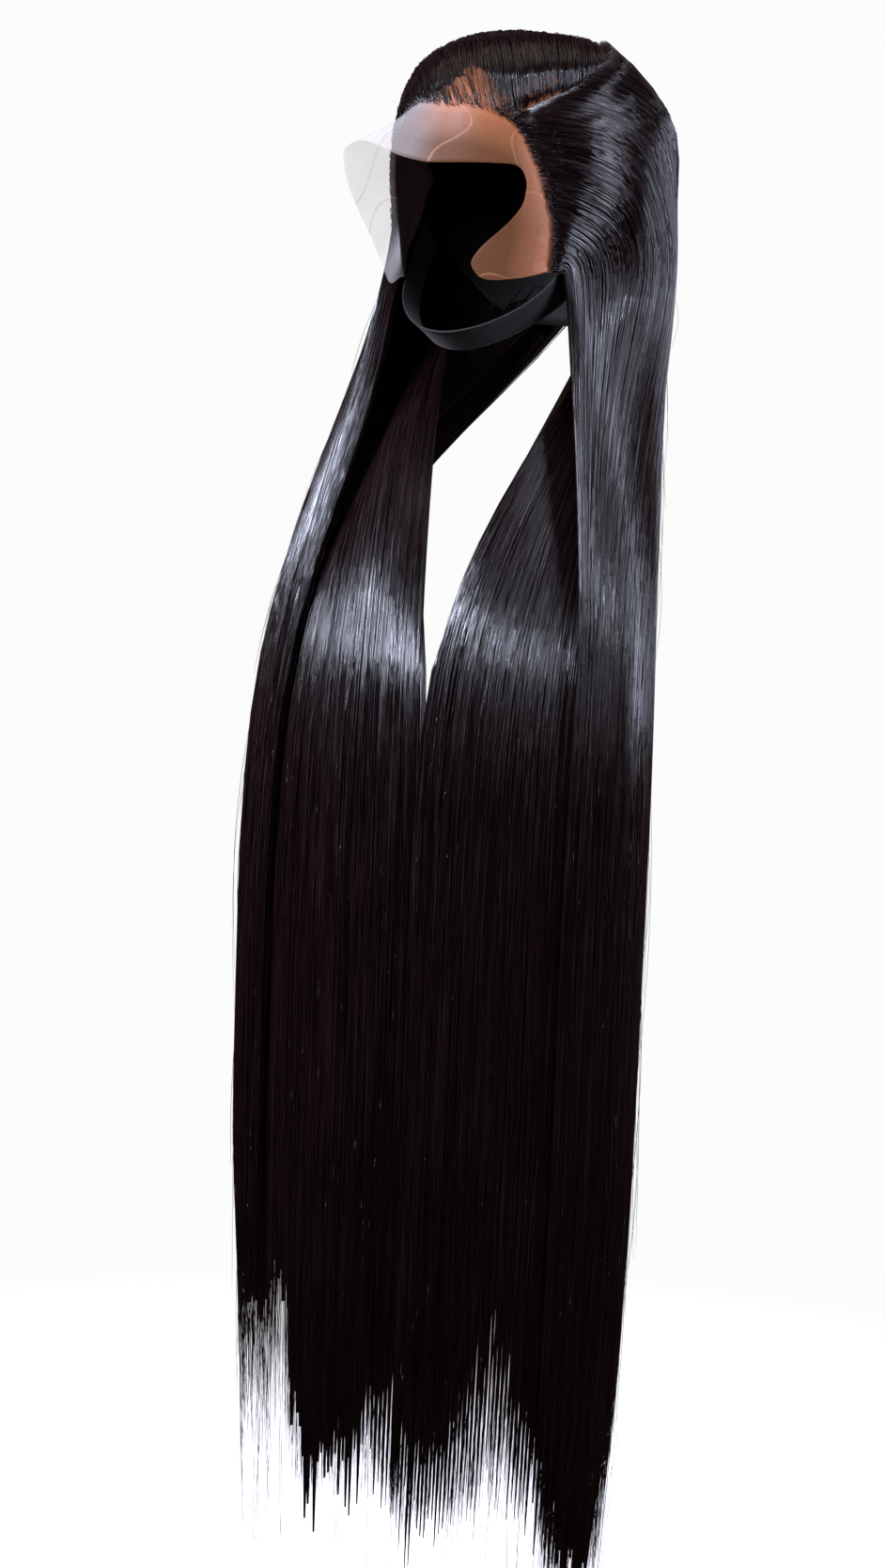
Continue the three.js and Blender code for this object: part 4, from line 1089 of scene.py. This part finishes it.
def stray_parts(layer, count, rng):
    """Single hairs that stand a little off the surface of a layer."""
    column = rng.uniform(1, FLOW_COLUMNS - 2, count)
    top = layer.row_of_drop(STRAY_FROM[layer.kind])
    first = rng.uniform(top, layer.row_of_drop(STRAY_TO), count)
    length = rng.uniform(4, 26, count)
    share = np.linspace(0, 1, 12)
    rows = np.minimum(first[:, None] + length[:, None] * share[None], layer.outer.shape[1] - 1.5)
    bow = rng.normal(0, 2.2, (count, 1)) * np.sin(share * math.pi)[None]
    columns = column[:, None] + bow + rng.normal(0, 1.4, (count, 1)) * share[None]
    out, _, away, _ = layer.surfaces(columns, rows)
    lift = 0.3 + rng.uniform(0, 1, (count, 1)) ** 2 * 5 * np.sin(share * math.pi)[None]
    lift = lift + rng.uniform(0, 1, (count, 1)) ** 4 * 7 * share[None] ** 2
    points = out + away * lift[..., None]
    thin = 1 - 0.6 * smoothstep(np.abs(share - 0.5), 0.3, 0.5)
    thick = rng.uniform(0.12, 0.24, count)[:, None] * thin[None]
    return tubes(points, away, thick, rng.uniform(0, 10, count))


def hair_piece(name, parts, material, node=None):
    """One hair mesh, riding on the root body and hiding the imported part of the hair that it replaces,
    when one is named.
    """
    made = mesh_object(name, *joined(parts), material)
    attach(made, "root")
    if node:
        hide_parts(node)
    return made


def build_layer(context, side, kind, seed):
    """Bed, strands and loose hairs of one layer on one side."""
    settings = context.scene.wig_hair
    rng = np.random.default_rng(seed)
    width = settings.strand_width * 1000
    layer = Layer(side, kind)
    name = layer.name
    hair_piece(f"{name}_bed", bed_parts(layer, rng), "packed hair", name)
    count = settings.outer_strands if kind == "hair" else settings.nape_strands
    hair_piece(f"{name}_strands", [strand_parts(layer, count, width, rng)], "long hair")
    loose = [stray_parts(layer, settings.loose_strands, rng)]
    if kind == "nape":
        loose.append(edge_parts(layer, settings.edge_strands, width, rng))
    else:
        last = ROOT_ENDS[side] * (FLOW_COLUMNS - 1)
        loose.append(short_parts(layer, settings.hairline_strands, last, rng))
    hair_piece(f"{name}_loose", loose, "long hair")


class WIG_OT_materials(bpy.types.Operator):
    """Make the materials of the hair, lace, cap and strap"""
    bl_idname = "wig.materials"
    bl_label = "Wig Materials"

    def execute(self, context):
        lace = context.scene.wig_lace
        hair_material("long hair", "0c0405", "1a0c0c", "382019", 0.13, 0.5)
        # Painted shade: the packed hair under the strands is drawn darker than the strands, as the shade
        # in the gaps between them
        hair_material("packed hair", "080303", "100606", "1c0f0c", 0.30, 0.12)
        lace_material("clear lace", lace.mesh * 1000, LACE_LOBE_END)
        net_material("stretch net", "15100f", 1.6, 0.75, 1.0, 0.75)
        elastic_material("woven elastic", "050506", "1a181a")
        return {"FINISHED"}


class WIG_OT_hair(bpy.types.Operator):
    """Build the outer and nape layers of hair on both sides"""
    bl_idname = "wig.hair"
    bl_label = "Hair Layers"

    def execute(self, context):
        build_layer(context, "left", "nape", 14)
        build_layer(context, "right", "nape", 21)
        build_layer(context, "left", "hair", 11)
        build_layer(context, "right", "hair", 18)
        return {"FINISHED"}


# Lace, cap and strap

def seam(share):
    """The seam between lace and cap, from ear to ear over the crown."""
    share = np.asarray(share, float)
    side = np.where(share < 0, -1.0, 1.0)
    size = np.abs(share)
    ear = direction(side * SEAM_EAR[0], SEAM_EAR[1])
    over = np.stack([side, np.ones_like(side), np.ones_like(side)], -1) * SEAM_BEND
    top = np.broadcast_to(SEAM_TOP, over.shape)
    across = mix(top, over, size * 0.5)
    return on_unit_head(bend(top, mix(across, over, 0.5), ear, size))


def lace_grid():
    """The lace's outer side, row by row from the seam over the hairline to the free edge."""
    table = LACE_COLUMNS
    number = np.arange(len(table))
    shares = 2 * (number - LACE_SEAM_FROM) / (LACE_SEAM_TO - LACE_SEAM_FROM) - 1
    back = np.where(np.isnan(table[:, :1]), seam(np.clip(shares, -1, 1)),
                    direction(*np.nan_to_num(table[:, :2]).T))
    places = np.linspace(0, len(table) - 1, LACE_ACROSS)
    back = smoothed(table_at(back, places), 0, 4)
    hair, edge = (smoothed(table_at(direction(*table[:, a:a + 2].T), places), 0, 3) for a in (2, 4))
    flare = smoothed(table_at(table[:, 6:7], places), 0, 3)[:, 0]
    wave = lattice_noise(np.random.default_rng(5), np.arange(LACE_ACROSS), 7) * 1.6
    rows = [head_point(mix(back, hair, step), LACE_LIFT) for step in np.linspace(0, 1, LACE_BACK_ROWS)]
    for step in np.linspace(0, 1, LACE_FRONT_ROWS)[1:]:
        lift = LACE_FLARE * flare * step ** LACE_CURL
        loose = wave * step ** 2 * (0.3 + flare)
        rows.append(head_point(mix(hair, edge, step), LACE_LIFT + lift + np.abs(loose)))
    return np.stack(rows)


class WIG_OT_lace(bpy.types.Operator):
    """Build the clear lace front with its free edge and lobes"""
    bl_idname = "wig.lace"
    bl_label = "Lace Front"

    def execute(self, context):
        outer = lace_grid()
        away = unit(np.cross(np.gradient(outer, axis=1), np.gradient(outer, axis=0)))
        if np.sum(away[:, :, 2]) < 0:
            away = -away
        points, faces = slab(outer, outer - away * (context.scene.wig_lace.thickness * 1000))
        along = lengths(outer, 0)
        across = np.broadcast_to(lengths(outer[LACE_BACK_ROWS - 1], 0)[None], along.shape)
        flow = np.stack([across, along - along[LACE_BACK_ROWS - 1]], -1).reshape(-1, 2) / 1000
        made = mesh_object("lace_front_net", points, faces, np.concatenate([flow, flow]), "clear lace")
        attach(made, "root")
        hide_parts("lace_front")
        wide = float(lengths(outer[LACE_BACK_ROWS], 0)[-1]) / 1000
        return {"FINISHED"}


class WIG_OT_cap(bpy.types.Operator):
    """Build the stretch net cap behind the lace"""
    bl_idname = "wig.cap"
    bl_label = "Cap"

    def execute(self, context):
        share = np.linspace(-1, 1, CAP_ACROSS)
        start = seam(share)
        side = np.where(share < 0, -1.0, 1.0)
        angle, height = (np.interp(np.abs(share), CAP_EDGE[:, 0], CAP_EDGE[:, a]) for a in (1, 2))
        end = direction(side * angle, height)
        middle = (start + end) / 2
        push = 1 + CAP_FULLNESS * np.linalg.norm(start - end, axis=1)
        over = np.stack([middle[:, 0] * push, middle[:, 1] * push, middle[:, 2]], -1)
        ways = [bend(start, over, end, step) for step in np.linspace(0, 1, CAP_ROWS)]
        outer, inner = (np.stack([head_point(way, lift) for way in ways]) for lift in CAP_LIFTS)
        outer[0, :, 1] += SEAM_GAP
        inner[0, :, 1] += SEAM_GAP
        made = mesh_object("cap_net", *slab(outer, inner), slab_flow(outer), "stretch net")
        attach(made, "root")
        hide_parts("cap")
        area = area_of(outer) / 1e6
        wide = float(lengths(outer[0], 0)[-1]) / 1000
        return {"FINISHED"}


class WIG_OT_strap(bpy.types.Operator):
    """Build the elastic chin strap"""
    bl_idname = "wig.strap"
    bl_label = "Chin Strap"

    def execute(self, context):
        wide, long, high = HEAD_HALF
        middle = np.stack([STRAP_PATH[:, 0] * wide, HEAD_CENTRE_Y + STRAP_PATH[:, 1] * long,
                           high * (STRAP_PATH[:, 2] - 1)], -1)
        face = STRAP_PATH[:, 3:6]
        flip = np.array([-1.0, 1, 1])
        middle = np.concatenate([middle, middle[-2::-1] * flip])
        face = np.concatenate([face, face[-2::-1] * flip])
        places = np.linspace(0, len(middle) - 1, STRAP_ROWS)
        middle, face = (smoothed(table_at(line, places), 0, STRAP_PASSES) for line in (middle, face))
        along = unit(np.gradient(middle, axis=0))
        face = unit(face - along * np.sum(face * along, axis=1, keepdims=True))
        across = unit(np.cross(along, face))
        share, rise = STRAP_PROFILE.T
        outer = middle[:, None] + across[:, None] * (share * STRAP_WIDTH)[None, :, None]
        inner = outer + face[:, None] * STRAP_BACK
        outer = outer + face[:, None] * rise[None, :, None]
        made = mesh_object("chin_strap_elastic", *slab(outer, inner), slab_flow(outer), "woven elastic")
        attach(made, "root")
        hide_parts("chin_strap")
        width, length = STRAP_WIDTH, float(lengths(middle, 0)[-1]) / 1000
        return {"FINISHED"}


# Camera and stage

class WIG_OT_camera(bpy.types.Operator):
    """Place the camera at the photograph's viewing angle"""
    bl_idname = "wig.camera"
    bl_label = "Camera"

    def execute(self, context):
        turn, pitch, roll = (math.radians(a) for a in (CAMERA_AZIMUTH, CAMERA_PITCH, CAMERA_ROLL))
        right = Vector((math.cos(turn), math.sin(turn), 0))
        ahead = Vector((-math.sin(turn) * math.cos(pitch), math.cos(turn) * math.cos(pitch),
                        -math.sin(pitch)))
        up = right.cross(ahead)
        rolled_right = right * math.cos(roll) + up * math.sin(roll)
        rolled_up = up * math.cos(roll) - right * math.sin(roll)
        data = bpy.data.cameras.new("wig camera")
        data.sensor_fit = "AUTO"
        data.sensor_width = SENSOR_MM
        data.lens = FOCAL_PIXELS * SENSOR_MM / PICTURE[1]
        data.clip_start = 0.05
        data.clip_end = 50
        camera = bpy.data.objects.new("wig camera", data)
        turned = Matrix((rolled_right, rolled_up, -ahead)).transposed().to_4x4()
        camera.matrix_world = Matrix.Translation(Vector(CAMERA_AT) / 1000) @ turned
        context.scene.collection.objects.link(camera)
        context.scene.camera = camera
        return {"FINISHED"}


def area_light(name, power, size, place, target, colour):
    """A soft rectangular light that looks at a point."""
    data = bpy.data.lights.new(name, "AREA")
    data.shape = "RECTANGLE"
    data.energy = power
    data.size, data.size_y = size
    data.color = colour
    light = bpy.data.objects.new(name, data)
    aim = Vector(target) - Vector(place)
    turned = aim.to_track_quat("-Z", "Y").to_matrix().to_4x4()
    light.matrix_world = Matrix.Translation(Vector(place)) @ turned
    bpy.context.scene.collection.objects.link(light)


class WIG_OT_stage(bpy.types.Operator):
    """Lay the pale floor and set the soft studio lights"""
    bl_idname = "wig.stage"
    bl_label = "Stage"

    def execute(self, context):
        settings = context.scene.wig_studio
        scene = context.scene
        scene.view_settings.view_transform = "Standard"
        world = bpy.data.worlds.new("studio")
        scene.world = world
        world.use_nodes = True
        tree = world.node_tree
        tree.nodes.clear()
        seen = add_node(tree, "ShaderNodeBackground", {"Color": (*settings.backdrop, 1)})
        # The camera alone sees the backdrop, because a white room would grey the black hair
        dim = add_node(tree, "ShaderNodeBackground", {"Color": (1.0, 0.60, 0.64, 1), "Strength": 0.09})
        path = add_node(tree, "ShaderNodeLightPath")
        both = add_node(tree, "ShaderNodeMixShader", links={
            0: path.outputs["Is Camera Ray"], 1: dim.outputs[0], 2: seen.outputs[0]})
        add_node(tree, "ShaderNodeOutputWorld", links={"Surface": both.outputs[0]})
        bpy.ops.mesh.primitive_circle_add(vertices=96, radius=FLOOR_RADIUS, fill_type="NGON",
                                          location=(0, 0, FLOOR_LEVEL))
        floor = context.object
        floor.name = "studio_floor"
        floor.data.materials.append(floor_material("studio paper", "f7f7f7", *FLOOR_FADE))
        for name, light in LIGHTS.items():
            area_light(name, getattr(settings, f"{name}_power"), *light)
        return {"FINISHED"}


class WIG_PT_panel(bpy.types.Panel):
    """Buttons that build the wig piece by piece"""
    bl_label = "Wig"
    bl_idname = "WIG_PT_panel"
    bl_space_type = "VIEW_3D"
    bl_region_type = "UI"
    bl_category = "Wig"

    def draw(self, context):
        for group, kind in SETTINGS.items():
            for name in kind.__annotations__:
                self.layout.prop(getattr(context.scene, group), name)
        for operator in OPERATORS:
            self.layout.operator(operator.bl_idname)


OPERATORS = (WIG_OT_camera, WIG_OT_materials, WIG_OT_cap, WIG_OT_lace, WIG_OT_strap, WIG_OT_hair,
             WIG_OT_stage)
SETTINGS = {"wig_hair": WigHairSettings, "wig_lace": WigLaceSettings,
            "wig_studio": WigStudioSettings}


def register():
    """Registers the settings, operators and panel."""
    for kind in (*SETTINGS.values(), *OPERATORS, WIG_PT_panel):
        bpy.utils.register_class(kind)
    for name, kind in SETTINGS.items():
        setattr(bpy.types.Scene, name, PointerProperty(type=kind))


def unregister():
    """Removes what register added."""
    for name in SETTINGS:
        delattr(bpy.types.Scene, name)
    for kind in (WIG_PT_panel, *reversed(OPERATORS), *reversed(tuple(SETTINGS.values()))):
        bpy.utils.unregister_class(kind)


def main():
    """Builds every piece in order."""
    register()
    for operator in OPERATORS:
        area, name = operator.bl_idname.split(".")
        getattr(getattr(bpy.ops, area), name)()


if __name__ == "__main__":
    main()
